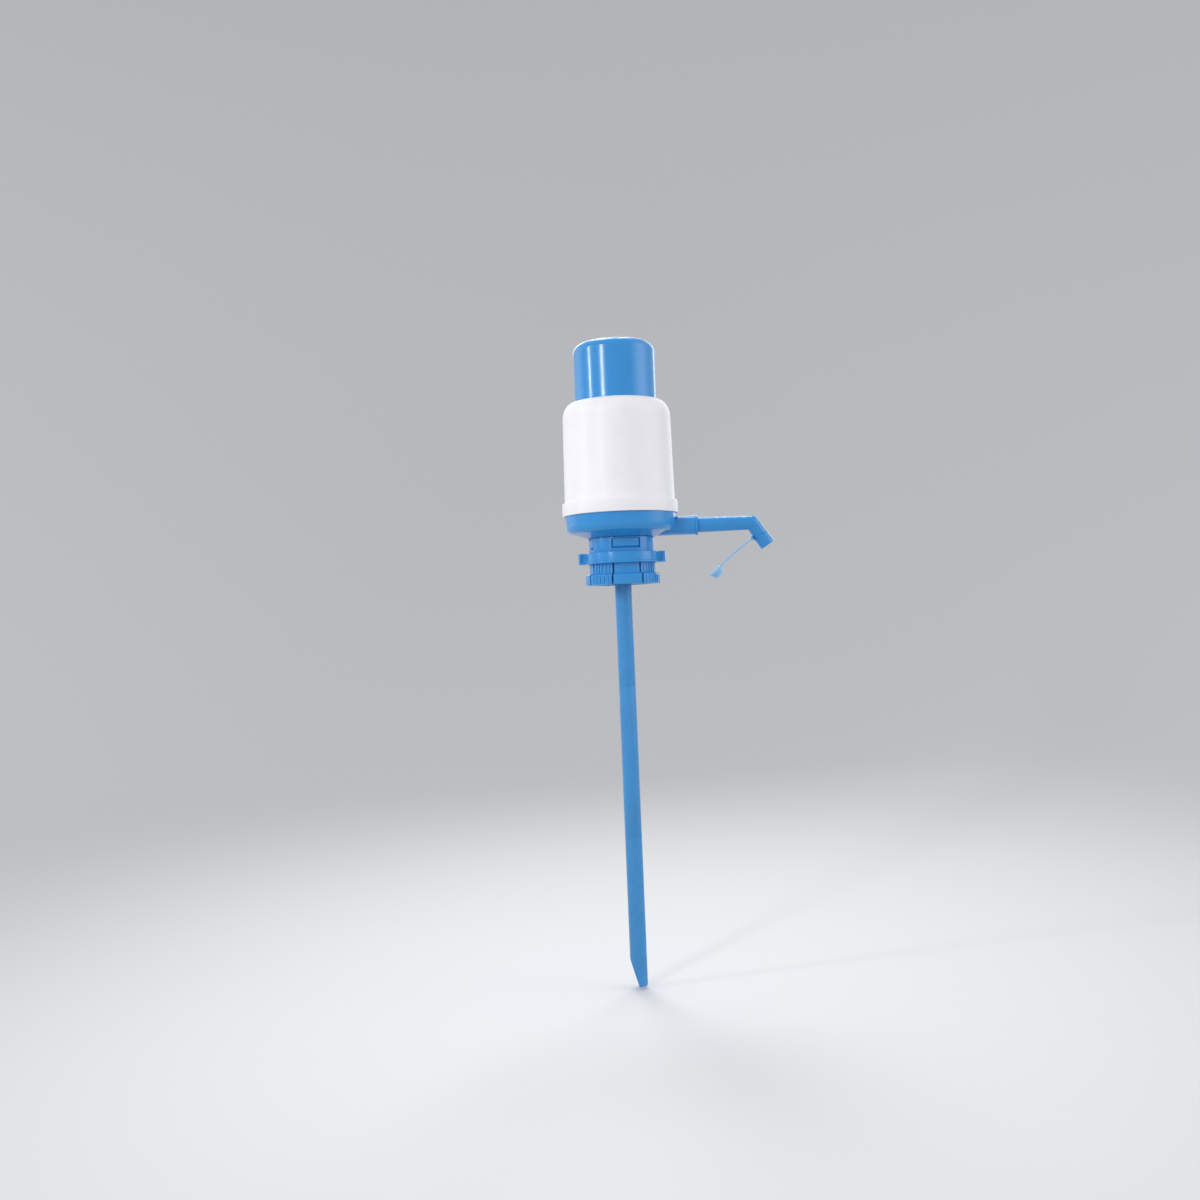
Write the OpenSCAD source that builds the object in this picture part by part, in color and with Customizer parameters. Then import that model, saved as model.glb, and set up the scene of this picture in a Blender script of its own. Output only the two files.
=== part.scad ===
// Hand pump that presses onto the neck of a large water jug.
// The jug's lip seats at z = 0. +Z runs up to the press cap, +X to the spout.

/* [Jug neck] */
// Outer diameter of the jug's crowned neck
neck_d = 55; // [52:0.5:58]
// Radial play between the neck and the parts round it
neck_play = 0.5; // [0.3:0.1:0.8]
// Depth that the collar reaches down the neck
neck_reach = 38; // [35:1:44]

/* [Neck seal] */
// Thickness of the rubber washer on the jug's lip
seal_t = 4; // [3:0.5:5]
// Inner radius of the washer
seal_in_r = 19.5; // [18.5:0.5:21]
// Radius of the lip that enters the jug's mouth
seal_lip_r = 22.9; // [21.5:0.1:24]
// Depth of that lip below the jug's lip
seal_lip_drop = 6; // [3:0.5:9]

/* [Base] */
// Outer radius of the drum at its top edge
drum_r = 53; // [50:0.5:58]
// Narrowing of the drum's radius towards its floor
drum_draft = 1; // [0.4:0.1:2]
// Height of the drum above its flat floor
drum_h = 29.5; // [28.5:0.5:36]
// Wall of the drum
drum_wall = 2.4; // [1.8:0.1:3.2]
// Radius of the drum's lower corner
drum_corner = 7; // [4:0.5:9]
// Rise of the sloping floor from the collar to the corner
floor_rise = 4.5; // [2:0.5:6]
// Thickness of the ceiling over the neck
ceiling_t = 2.5; // [2:0.1:3.5]
// Wall of the skirt round the neck
skirt_wall = 1.6; // [1.2:0.1:2.2]
// Drop of the skirt below the jug's lip
skirt_drop = 7; // [6:0.5:9]
// Number of air ports through the ceiling
port_count = 6; // [4:1:8]
// Radius of an air port
port_r = 2; // [1:0.1:2.2]

/* [Collar] */
// Wall of the collar's upper sleeve
sleeve_wall = 1.9; // [1.5:0.1:2.6]
// Wall of the clamping fingers
finger_wall = 3.6; // [3:0.1:4.2]
// Depth of the grip ribs on the fingers
rib_depth = 0.55; // [0.3:0.05:0.9]
// Width of a grip rib
rib_w = 1.8; // [1.2:0.1:2.4]
// Distance from one grip rib to the next
rib_pitch = 3.8; // [3:0.1:3.9]
// Grip ribs on each ribbed finger
rib_count = 5; // [3:1:5]
// Width of a slot between two fingers
slot_w = 2; // [1:0.1:3]
// Width of a smooth tongue between its two slots
tongue_w = 23.3; // [20:0.1:25]
// Width of a window in the sleeve
window_w = 27; // [25:0.5:30]
// Height of a window in the sleeve
window_h = 9.7; // [7:0.1:10]
// Width of the snap lug that stands in a window
lug_w = 24; // [16:0.5:24.5]
// Height of the lower flange
flange_h = 10.4; // [7:0.1:11]
// Width of the lower flange beyond the fingers
flange_w = 4; // [3:0.1:6]
// Depth of the hook under the neck's crown
hook_depth = 2.5; // [1.5:0.1:3]
// Height of the hook
hook_h = 6; // [4:0.5:8]
// Turn of the collar about the neck, towards the spout
collar_turn = 8; // [0:1:20]

/* [Lock ring] */
// Height of the lock ring
ring_h = 10.4; // [7:0.1:11]
// Wall of the lock ring
ring_wall = 3.5; // [2.5:0.1:4.5]
// Gap between the lock ring and the flange under it
ring_park = 9.6; // [6:0.1:11]
// Distance from the axis to a wing's tip
wing_reach = 42; // [39:0.5:46]
// Width of a wing
wing_w = 22; // [14:0.5:26]
// Depth of the grip pocket in each side of a wing
wing_pocket = 1.2; // [0.6:0.1:2]

/* [Housing] */
// Radius of the housing above its rim
housing_low_r = 52.4; // [51.8:0.1:54]
// Radius of the housing under its shoulder
housing_top_r = 51.3; // [49:0.1:53]
// Height of the housing from rim to top edge
housing_h = 107; // [100:1:125]
// Wall of the housing
housing_wall = 2.4; // [1.8:0.1:3]
// Height of the rounded shoulder
shoulder_h = 16; // [10:0.5:22]
// Wall of the rim round the drum
rim_wall = 1.8; // [1.4:0.1:3]
// Height of the flared rim
rim_h = 12.5; // [12:0.5:16]
// Drop of the rim below the drum's top edge
rim_drop = 8; // [6:0.5:9]
// Length of the sleeve that guides the cap
guide_len = 20; // [14:1:26]
// Wall of that sleeve
guide_wall = 1.8; // [1.4:0.1:2.6]

/* [Press cap] */
// Outer radius of the press cap
cap_r = 39; // [37:0.5:41]
// Wall of the press cap
cap_wall = 2.2; // [1.6:0.1:3]
// Radius of the cap's upper corner
cap_corner = 9; // [5:0.5:12]
// Rise of the crown in the middle of the cap
cap_crown = 1.2; // [0.4:0.1:3]
// Stroke of the cap
stroke = 48; // [36:1:54]
// Height of the cap that stays above the housing when pressed
cap_left = 9.5; // [4:0.5:16]
// Width of the flange that stops the cap under the guide
cap_flange_w = 4; // [3:0.1:6]
// Thickness of that flange
cap_flange_t = 3; // [2:0.1:4]
// Ribs under the cap's roof
cap_rib_count = 6; // [4:1:10]
// Thickness of a rib under the roof
cap_rib_t = 2; // [1.2:0.1:3]
// Room between the cap's top and the plate under its ribs
cap_head = 7.5; // [6:0.1:12]

/* [Air pump] */
// Thickness of the plate that closes the bellows
top_plate_t = 2.5; // [2:0.1:3.5]
// Thickness of the valve plate
valve_plate_t = 3; // [2:0.1:4]
// Outer radius of the bellows' folds
fold_out_r = 34; // [32:0.5:35]
// Inner radius of the bellows' folds
fold_in_r = 27; // [24:0.5:29]
// Number of folds
fold_count = 12; // [8:1:14]
// Wall of the bellows, measured along the radius
fold_wall = 1.4; // [1:0.1:2]
// Thickness of the bellows' end flanges
bellows_flange_t = 1.5; // [1:0.1:2]
// Mean radius of the return spring
spring_r = 18; // [17.5:0.1:20]
// Radius of the spring's wire
wire_r = 1.1; // [0.8:0.1:1.4]
// Turns of the spring
spring_turns = 12; // [8:1:14]
// Radius of a valve flap
flap_r = 11; // [9.5:0.1:12]
// Radius of a hole under a valve flap
valve_hole_r = 2; // [1:0.1:2.2]
// Number of holes under a valve flap
valve_hole_count = 6; // [4:1:8]
// Radius of a flap's stem
stem_r = 1.5; // [1:0.1:2]
// Thickness of the bellows' clamping ring
retainer_t = 3; // [2:0.1:4]

/* [Spout] */
// Height of the spout's axis above the jug's lip
spout_z = 16; // [15.5:0.1:17.5]
// Outer radius of the spout's socket on the base
socket_r = 8.95; // [8.6:0.05:9.4]
// Distance from the pump's axis to the socket's mouth
socket_reach = 73; // [66:1:82]
// Radius of the plug that turns in the socket
plug_r = 6.95; // [6.5:0.05:7.2]
// Length of the plug
plug_len = 20; // [16:0.5:24]
// Outer radius of the spout where it leaves the socket
spout_root_r = 7.25; // [7.2:0.05:8]
// Outer radius of the spout at its elbow
elbow_r = 6.8; // [6.2:0.05:7]
// Distance from the pump's axis to the elbow
spout_reach = 124.5; // [110:1:140]
// Slope of the outlet leg below the horizontal
outlet_slope = 57; // [45:1:75]
// Length of the outlet leg from the elbow to its tip
outlet_len = 26; // [24:0.5:36]
// Radius of the water passage in the spout
passage_r = 4.8; // [4:0.1:5]
// Radius of the outlet's socket for a hose or the stopper
outlet_bore_r = 5.2; // [5.1:0.05:5.4]
// Depth of the outlet's socket
outlet_bore_len = 12; // [8:0.5:14]

/* [Stopper] */
// Outer radius of the ring that holds the strap
tether_r = 7.2; // [6.9:0.1:8]
// Length of that ring
tether_len = 12; // [8:0.5:13]
// Length of the strap with its stopper
strap_len = 53; // [46:1:70]
// Thickness of the strap
strap_t = 1.6; // [1.2:0.1:2.2]
// Width of the strap
strap_w = 6; // [4:0.5:8]
// Slope of the strap where it leaves the ring
strap_slope = 34; // [20:1:45]
// Angle that the strap bends through along its length
strap_bend = 12; // [4:1:24]
// Radius of the stopper's head
stopper_r = 7; // [6:0.1:8]
// Length of the stopper's plug
stopper_depth = 5; // [3:0.5:8]

/* [Dip tube] */
// Outer radius of the dip tube
tube_r = 8; // [7.5:0.1:9]
// Bore radius of the dip tube
tube_bore_r = 6.5; // [6:0.1:6.7]
// Length of one section of the tube
tube_len = 142; // [110:1:170]
// Length of the spigot that joins two sections
spigot_len = 15; // [10:1:20]
// Wall of that spigot
spigot_wall = 1.1; // [0.8:0.05:1.4]
// Height of the slanted cut at the tube's foot
foot_cut = 26; // [12:1:36]

/* [Hidden] */

$fn = 96;
blue_c = "#4a96d4";
pale_blue_c = "#8fc4e8";
white_c = "#f2f1f4";
rubber_c = "#3a3f47";
steel_c = "#b4b8bc";
silicone_c = "#d9dde0";

// Clearances
gap = 0.3; // between pieces that move against each other
slip = 0.15; // between pieces that are pushed together
turn_play = 0.08; // round the spout's plug
push = 0.05; // between a tube and the socket that it is pressed into
over = 1; // how far a cut runs past the wall that it opens
round_steps = 8; // straight steps in a rounded corner

// Levels, from the jug's lip upwards
ceiling_z = seal_t;
floor_z = ceiling_z + ceiling_t;
drum_top_z = floor_z + drum_h;
plate_top_z = drum_top_z + valve_plate_t;
rim_z = drum_top_z - rim_drop;
rim_top_z = rim_z + rim_h;
housing_top_z = rim_z + housing_h;
shoulder_z = housing_top_z - shoulder_h;
guide_z = housing_top_z - guide_len;
cap_bottom_z = guide_z - gap - cap_flange_t;
cap_top_z = housing_top_z + stroke + cap_left;
top_plate_top_z = cap_top_z - cap_head;
top_plate_z = top_plate_top_z - top_plate_t;
bellows_top_z = top_plate_z - gap;

// Levels below the jug's lip
shelf_z = -skirt_drop - gap;
shelf_t = 1; // from the skirt's foot down to the fingers
root_h = 4; // height of a finger's solid root above its slots
finger_top_z = -skirt_drop - shelf_t;
slot_top_z = finger_top_z - root_h;
collar_foot_z = -neck_reach;
flange_top_z = collar_foot_z + flange_h;
ring_z = flange_top_z + ring_park;

// Radii from the neck outwards
neck_in_r = neck_d / 2 + neck_play;
skirt_r = neck_in_r + skirt_wall;
sleeve_in_r = skirt_r + slip;
sleeve_r = sleeve_in_r + sleeve_wall;
lug_play = 0.4; // round a snap lug in its window
lug_r = sleeve_r - lug_play;
finger_r = neck_in_r + finger_wall;
rib_r = finger_r + rib_depth;
flange_r = finger_r + flange_w;
hook_r = neck_in_r - hook_depth;
ring_in_r = rib_r + gap + push;
ring_r = ring_in_r + ring_wall;
seal_r = neck_in_r - slip;
drum_low_r = drum_r - drum_draft;
rim_in_r = drum_r + slip;
rim_r = rim_in_r + rim_wall;
cap_play = 0.4; // between the cap and its guide
guide_r = cap_r + cap_play;
guide_out_r = guide_r + guide_wall;
lip_w = 0.5; // flat edge round the top of the guide
lip_r = guide_out_r + lip_w;
cap_in_r = cap_r - cap_wall;
cap_flange_r = cap_r + cap_flange_w;

// Snap bead inside the housing's rim, and the groove for it round the drum
bead_lift = 2.4; // above the rim's foot
bead_h = 1.2;
bead_z = rim_z + bead_lift;
groove_play = 1; // above and below the bead

// Bellows' lower flange, and the seal between the valve plate and the drum
foot_flange_w = 6; // beyond the folds
foot_flange_r = fold_out_r + foot_flange_w;
plate_spigot_h = 5.5;
plate_spigot_z = drum_top_z - plate_spigot_h;
plate_spigot_r = drum_low_r - drum_wall - gap;
seal_groove = 1.5;
seal_groove_h = 2;
seal_groove_lift = 1.2; // above the spigot's lower end
seal_groove_z = plate_spigot_z + seal_groove_lift;

// Ribs on the collar's flange
flange_chamfer = 1.6;
rib_margin = 0.6; // from the top of a flange rib to the chamfer
flange_rib_z = collar_foot_z + flange_chamfer;
flange_rib_h = flange_h - 2 * flange_chamfer - rib_margin;

// Dip tube and water passage
tube_seat_z = 8;
column_wall = 3;
column_r = tube_r + column_wall;
column_foot_z = -14;
tube_socket_r = tube_r + push;
spigot_r = tube_bore_r - 2 * push;
spigot_bore_r = spigot_r - spigot_wall;
port_pitch_r = (column_r + seal_in_r) / 2;
plug_seat_x = socket_reach - plug_len;
plug_bore_r = plug_r + turn_play;
plug_seal_d = 1.45;
plug_groove = plug_seal_d + 0.05; // a little deeper than the seal's section
plug_groove_h = plug_seal_d + 0.4;
plug_groove_at = 5; // from the plug's inner end

// Window and slot angles
window_angles = [for (i = [0 : 3]) collar_turn - 90 + i * 90];
slot_angle = asin((tongue_w + slot_w) / 2 / finger_r);
window_lintel = 1.3; // from the drum's floor down to a window
window_z = floor_z - window_lintel - window_h;
lug_z = window_z + lug_play;
lug_top_z = window_z + window_h - lug_play;

// Outlet leg, ring and strap
ring_start = outlet_len - tether_len;
ring_step = 0.6; // of the leg's radius, under the ring
leg_tip_r = elbow_r - ring_step;
barrel_r = 1.2;
barrel_back = 1.4; // from the ring's edge back to the barrel's axis
barrel_lift = 1.7; // from the ring's surface out to the barrel's axis
pivot_along = ring_start - barrel_back;
pivot_out = tether_r + barrel_lift;
stopper_plug_r = outlet_bore_r - 2 * push;
leg_dir = [cos(outlet_slope), -sin(outlet_slope)];
leg_side = [-sin(outlet_slope), -cos(outlet_slope)];
pivot = [spout_reach, spout_z] + pivot_along * leg_dir + pivot_out * leg_side;
strap_arc_r = strap_len / (strap_bend * PI / 180);
strap_start_a = 90 + strap_slope;
strap_centre = pivot - strap_arc_r * [cos(strap_start_a), sin(strap_start_a)];
stopper_a = strap_start_a + strap_bend * (strap_len - stopper_r) / strap_len;

// Points of an elliptical arc from angle a0 to angle a1
function arc(c, rx, ry, a0, a1, n = round_steps) =
    [for (i = [0 : n]) let (a = a0 + (a1 - a0) * i / n) c + [rx * cos(a), ry * sin(a)]];

// Points of a shallow crown that rises from radius r at height z to the axis
function crown(r, z, rise, n = 4) =
    [for (i = [1 : n]) let (x = r * (1 - i / n)) [x, z + rise * (1 - pow(x / r, 2))]];

function reversed(list) = [for (i = [len(list) - 1 : -1 : 0]) list[i]];

module revolve(points) {
    rotate_extrude()
        polygon(points);
}

// Part of a revolve, spread evenly about the direction mid
module revolve_part(points, mid, spread) {
    rotate([0, 0, mid - spread / 2])
        rotate_extrude(angle = spread)
            polygon(points);
}

module around(count, start = 0) {
    for (i = [0 : count - 1])
        rotate([0, 0, start + i * 360 / count])
            children();
}

// Puts a shape made along +Z onto the spout's axis, pointing to +X
module along_spout(x) {
    translate([x, 0, spout_z])
        rotate([0, 90, 0])
            children();
}

// Puts a shape made along +Z onto the outlet leg's axis
module along_outlet() {
    translate([spout_reach, 0, spout_z])
        rotate([0, 90 + outlet_slope, 0])
            children();
}

module press_cap() {
    corner_z = cap_top_z - cap_crown - cap_corner;
    in_corner = cap_corner - cap_wall;
    crown_r = cap_r - cap_corner;
    outer = concat(
        arc([crown_r, corner_z], cap_corner, cap_corner, 0, 90),
        crown(crown_r, corner_z + cap_corner, cap_crown));
    inner = concat(
        arc([crown_r, corner_z], in_corner, in_corner, 0, 90),
        crown(crown_r, corner_z + in_corner, cap_crown));
    rib_in_r = 12;
    rib_bite = 0.6; // how far below the roof's outside a rib ends
    rib_top_z = corner_z + cap_corner - rib_bite;
    color(blue_c)
        union() {
            revolve(concat(
                [[cap_in_r, cap_bottom_z],
                    [cap_flange_r, cap_bottom_z],
                    [cap_flange_r, cap_bottom_z + cap_flange_t],
                    [cap_r, cap_bottom_z + cap_flange_t]],
                outer,
                reversed(inner)));
            around(cap_rib_count)
                translate([rib_in_r, -cap_rib_t / 2, top_plate_top_z])
                    cube([crown_r - rib_in_r, cap_rib_t, rib_top_z - top_plate_top_z]);
        }
}

// Holes round a stem hole, through a plate that starts at z and is t thick
module valve_holes(z, t) {
    hole_margin = 4; // from a hole's centre out to the flap's edge
    hole_pitch_r = flap_r - hole_margin;
    stem_play = 0.1;
    translate([0, 0, z - over])
        cylinder(r = stem_r + stem_play, h = t + 2 * over);
    around(valve_hole_count)
        translate([hole_pitch_r, 0, z - over])
            cylinder(r = valve_hole_r, h = t + 2 * over, $fn = 32);
}

// Rubber flap under a plate, held by its barbed stem
module umbrella_valve(z, t) {
    head_t = 1.6;
    head_r = flap_r * 0.3;
    edge_t = 0.7;
    barb_h = 2;
    barb_w = 0.7;
    revolve([[0, z - head_t],
        [head_r, z - head_t],
        [flap_r, z - edge_t],
        [flap_r, z],
        [stem_r, z],
        [stem_r, z + t],
        [stem_r + barb_w, z + t],
        [stem_r * 0.5, z + t + barb_h],
        [0, z + t + barb_h]]);
}

module top_plate() {
    plate_play = 0.5; // inside the cap
    plate_r = cap_in_r - plate_play;
    cuff_play = 1.2; // round the bellows
    cuff_in_r = fold_out_r + cuff_play;
    cuff_drop = 3;
    edge = 1;
    color(white_c)
        difference() {
            revolve([[0, top_plate_z],
                [cuff_in_r, top_plate_z],
                [cuff_in_r, top_plate_z - cuff_drop],
                [plate_r, top_plate_z - cuff_drop],
                [plate_r, top_plate_top_z - edge],
                [plate_r - edge, top_plate_top_z],
                [0, top_plate_top_z]]);
            valve_holes(top_plate_z, top_plate_t);
        }
}

module inlet_valve() {
    color(rubber_c)
        umbrella_valve(top_plate_z, top_plate_t);
}

module bellows() {
    first_z = plate_top_z + bellows_flange_t;
    last_z = bellows_top_z - bellows_flange_t;
    half = (last_z - first_z) / fold_count / 2;
    folds = [for (i = [0 : 2 * fold_count])
        [i % 2 == 0 ? fold_in_r : fold_out_r, first_z + i * half]];
    inner = [for (p = folds) p - [fold_wall, 0]];
    top_flange_w = 0.8; // beyond the folds
    top_flange_r = fold_out_r + top_flange_w;
    foot_in_r = fold_in_r - fold_wall;
    color(silicone_c)
        revolve(concat(
            [[foot_in_r, plate_top_z],
                [foot_flange_r, plate_top_z],
                [foot_flange_r, first_z]],
            folds,
            [[top_flange_r, last_z],
                [top_flange_r, bellows_top_z],
                [foot_in_r, bellows_top_z]],
            reversed(inner)));
}

// Ring that clamps the bellows' lower flange inside the valve plate's collar
module bellows_retainer() {
    z = plate_top_z + bellows_flange_t;
    ring_play = 1.5; // round the folds
    ring_in = fold_out_r + ring_play;
    edge = 1;
    color(white_c)
        revolve([[ring_in, z],
            [foot_flange_r, z],
            [foot_flange_r, z + retainer_t],
            [ring_in + edge, z + retainer_t],
            [ring_in, z + retainer_t - edge]]);
}

// One round wire swept up a helix, with a closed turn at each end
module return_spring() {
    ring_steps = 16;
    sides = 6;
    low = plate_top_z + wire_r;
    high = bellows_top_z - wire_r;
    closed_rise = 2.1 * wire_r;
    active = spring_turns - 2;
    rings = ring_steps * spring_turns;
    function height(t) = t < 1 ? low + closed_rise * t
        : t > spring_turns - 1 ? high - closed_rise * (spring_turns - t)
        : low + closed_rise + (high - low - 2 * closed_rise) * (t - 1) / active;
    points = [for (i = [0 : rings]) for (j = [0 : sides - 1])
        let (a = i * 360 / ring_steps, b = j * 360 / sides, r = spring_r + wire_r * cos(b))
            [r * cos(a), r * sin(a), height(i / ring_steps) + wire_r * sin(b)]];
    skin = [for (i = [0 : rings - 1]) for (j = [0 : sides - 1])
        let (k = (j + 1) % sides, p = i * sides, q = p + sides)
            [p + j, q + j, q + k, p + k]];
    ends = [[for (j = [0 : sides - 1]) j],
        [for (j = [sides - 1 : -1 : 0]) rings * sides + j]];
    color(steel_c)
        polyhedron(points, concat(skin, ends));
}

module housing() {
    ledge_z = plate_top_z;
    bead_slope = 0.6;
    bead_r = rim_in_r - bead_slope;
    edge = 0.8;
    top_in_r = housing_top_r - housing_wall;
    color(white_c)
        revolve(concat(
            [[rim_in_r, rim_z],
                [rim_r - edge, rim_z],
                [rim_r, rim_z + edge],
                [rim_r, rim_top_z - 2 * edge],
                [rim_r - edge, rim_top_z - edge / 2],
                [housing_low_r, rim_top_z]],
            arc([lip_r, shoulder_z], housing_top_r - lip_r, shoulder_h, 0, 90),
            [[guide_r, housing_top_z],
                [guide_r, guide_z],
                [guide_out_r, guide_z]],
            arc([guide_out_r, shoulder_z], top_in_r - guide_out_r,
                shoulder_h - housing_wall, 90, 0),
            [[housing_low_r - housing_wall, ledge_z],
                [rim_in_r, ledge_z],
                [rim_in_r, bead_z + bead_h + bead_slope],
                [bead_r, bead_z + bead_h],
                [bead_r, bead_z],
                [rim_in_r, bead_z - bead_slope]]));
}

module valve_plate() {
    plate_r = drum_r - slip;
    collar_in_r = foot_flange_r + slip;
    collar_wall = 1.6;
    collar_r = collar_in_r + collar_wall;
    collar_lip = 0.5; // above the clamping ring
    collar_h = bellows_flange_t + retainer_t + collar_lip;
    seat_play = 1; // inside the spring
    spring_seat_r = spring_r - wire_r - seat_play;
    spring_seat_h = 5;
    seat_wall = 1.6;
    spigot_back = 2; // wall behind the seal's groove
    spigot_in_r = plate_spigot_r - seal_groove - spigot_back;
    color(white_c)
        difference() {
            union() {
                revolve([[0, drum_top_z],
                    [plate_r, drum_top_z],
                    [plate_r, plate_top_z],
                    [0, plate_top_z]]);
                revolve([[collar_in_r, plate_top_z - over],
                    [collar_r, plate_top_z - over],
                    [collar_r, plate_top_z + collar_h],
                    [collar_in_r, plate_top_z + collar_h]]);
                revolve([[spring_seat_r - seat_wall, plate_top_z - over],
                    [spring_seat_r, plate_top_z - over],
                    [spring_seat_r, plate_top_z + spring_seat_h],
                    [spring_seat_r - seat_wall, plate_top_z + spring_seat_h]]);
                revolve([[spigot_in_r, plate_spigot_z],
                    [plate_spigot_r, plate_spigot_z],
                    [plate_spigot_r, seal_groove_z],
                    [plate_spigot_r - seal_groove, seal_groove_z],
                    [plate_spigot_r - seal_groove, seal_groove_z + seal_groove_h],
                    [plate_spigot_r, seal_groove_z + seal_groove_h],
                    [plate_spigot_r, drum_top_z + over],
                    [spigot_in_r, drum_top_z + over]]);
            }
            valve_holes(drum_top_z, valve_plate_t);
        }
}

module outlet_valve() {
    color(rubber_c)
        umbrella_valve(drum_top_z, valve_plate_t);
}

module plate_seal() {
    play = 0.02; // to the groove's floor, and twice that and more to the drum
    section_r = (seal_groove + gap) / 2 - 2 * play;
    centre_r = plate_spigot_r - seal_groove + section_r + play;
    color(rubber_c)
        rotate_extrude()
            translate([centre_r, seal_groove_z + seal_groove_h / 2])
                circle(r = section_r, $fn = 24);
}

module drum_shell() {
    corner_z = floor_z + floor_rise + drum_corner;
    flat_r = sleeve_r + gap;
    corner_x = drum_low_r - drum_corner;
    in_corner = drum_corner - drum_wall;
    groove_z = bead_z - groove_play;
    groove_h = bead_h + 2 * groove_play;
    groove = 0.8;
    fillet_in = 1; // from the neck's radius in to the ceiling's flat
    revolve(concat(
        [[0, ceiling_z],
            [neck_in_r, ceiling_z],
            [neck_in_r, -skirt_drop],
            [skirt_r, -skirt_drop],
            [skirt_r, floor_z],
            [flat_r, floor_z]],
        arc([corner_x, corner_z], drum_corner, drum_corner, -90, 0),
        [[drum_r, groove_z],
            [drum_r - groove, groove_z],
            [drum_r - groove, groove_z + groove_h],
            [drum_r, groove_z + groove_h],
            [drum_r, drum_top_z],
            [drum_low_r - drum_wall, drum_top_z]],
        arc([corner_x, corner_z], in_corner, in_corner, 0, -90),
        [[skirt_r, floor_z + drum_wall],
            [neck_in_r - fillet_in, floor_z],
            [0, floor_z]]));
}

module base() {
    lug_spread = 2 * asin(lug_w / 2 / lug_r);
    lug_slope = 1.5;
    mouth_w = 2.4; // of the raised lip at the socket's mouth
    mouth_rise = 0.85;
    mouth_r = socket_r + mouth_rise;
    column_drop = 0.5; // below the top of the socket
    column_top_z = spout_z + socket_r - column_drop;
    chamber_play = 0.3; // beyond the passage that leaves it
    chamber_r = passage_r + chamber_play;
    color(blue_c)
        difference() {
            union() {
                rotate([0, 0, collar_turn + 45])
                    drum_shell();
                for (a = window_angles)
                    revolve_part([[skirt_r - skirt_wall / 2, lug_z],
                        [skirt_r, lug_z],
                        [lug_r, lug_z + lug_slope],
                        [lug_r, lug_top_z],
                        [skirt_r - skirt_wall / 2, lug_top_z]], a, lug_spread);
                translate([0, 0, column_foot_z])
                    cylinder(r = column_r, h = column_top_z - column_foot_z);
                along_spout(0)
                    cylinder(r = socket_r, h = socket_reach);
                along_spout(socket_reach - mouth_w)
                    cylinder(r = mouth_r, h = mouth_w);
            }
            translate([0, 0, column_foot_z - over])
                cylinder(r = tube_socket_r, h = tube_seat_z - column_foot_z + over);
            translate([0, 0, tube_seat_z - over])
                cylinder(r = chamber_r, h = spout_z - tube_seat_z + over + chamber_r);
            along_spout(0)
                cylinder(r = passage_r, h = plug_seat_x + over);
            along_spout(plug_seat_x)
                cylinder(r = plug_bore_r, h = plug_len + over);
            around(port_count, 360 / port_count / 2)
                translate([port_pitch_r, 0, ceiling_z - over])
                    cylinder(r = port_r, h = ceiling_t + 2 * over, $fn = 32);
        }
}

module neck_seal() {
    lip_t = 0.8;
    root_t = 1.8;
    bore_lift = 1; // of the bore's lower edge
    color(rubber_c)
        revolve([[seal_in_r, ceiling_z],
            [seal_r, ceiling_z],
            [seal_r, 0],
            [seal_lip_r + lip_t, 0],
            [seal_lip_r, -seal_lip_drop],
            [seal_lip_r - lip_t, -seal_lip_drop],
            [seal_lip_r - root_t, 0],
            [seal_in_r, bore_lift]]);
}

module clamp_collar() {
    sleeve_top_z = floor_z - gap;
    lead_in = 2;
    step_h = 1; // from the fingers out to the sleeve
    rib_step = rib_pitch / finger_r * 180 / PI;
    window_spread = 2 * asin(window_w / 2 / sleeve_r);
    color(blue_c)
        difference() {
            union() {
                rotate([0, 0, collar_turn + 45 + (1 - rib_count / 2) * rib_step])
                    revolve([[sleeve_in_r, sleeve_top_z],
                        [sleeve_in_r, shelf_z],
                        [neck_in_r, shelf_z],
                        [neck_in_r, collar_foot_z + hook_h + hook_depth],
                        [hook_r, collar_foot_z + hook_h],
                        [hook_r, collar_foot_z + lead_in],
                        [neck_in_r, collar_foot_z],
                        [flange_r, collar_foot_z],
                        [flange_r, flange_top_z - flange_chamfer],
                        [flange_r - flange_chamfer, flange_top_z],
                        [finger_r, flange_top_z],
                        [finger_r, finger_top_z - step_h],
                        [sleeve_r, finger_top_z],
                        [sleeve_r, sleeve_top_z]]);
                for (a = window_angles, k = [0 : rib_count - 1])
                    rotate([0, 0, a + 45 + (k - (rib_count - 1) / 2) * rib_step])
                        grip_rib();
            }
            for (a = window_angles) {
                revolve_part([[skirt_r, window_z],
                    [sleeve_r + over, window_z],
                    [sleeve_r + over, window_z + window_h],
                    [skirt_r, window_z + window_h]], a, window_spread);
                for (side = [-1, 1])
                    rotate([0, 0, a + side * slot_angle])
                        translate([hook_r - over, -slot_w / 2, collar_foot_z - over])
                            cube([flange_r - hook_r + 3 * over, slot_w,
                                slot_top_z - collar_foot_z + over]);
            }
        }
}

// Upright rib on a finger and on the flange below it
module grip_rib() {
    root = 1;
    translate([finger_r - root, -rib_w / 2, flange_top_z - root])
        cube([root + rib_depth, rib_w, finger_top_z - flange_top_z - root]);
    translate([flange_r - root, -rib_w / 2, flange_rib_z])
        cube([root + rib_depth, rib_w, flange_rib_h]);
}

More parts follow.
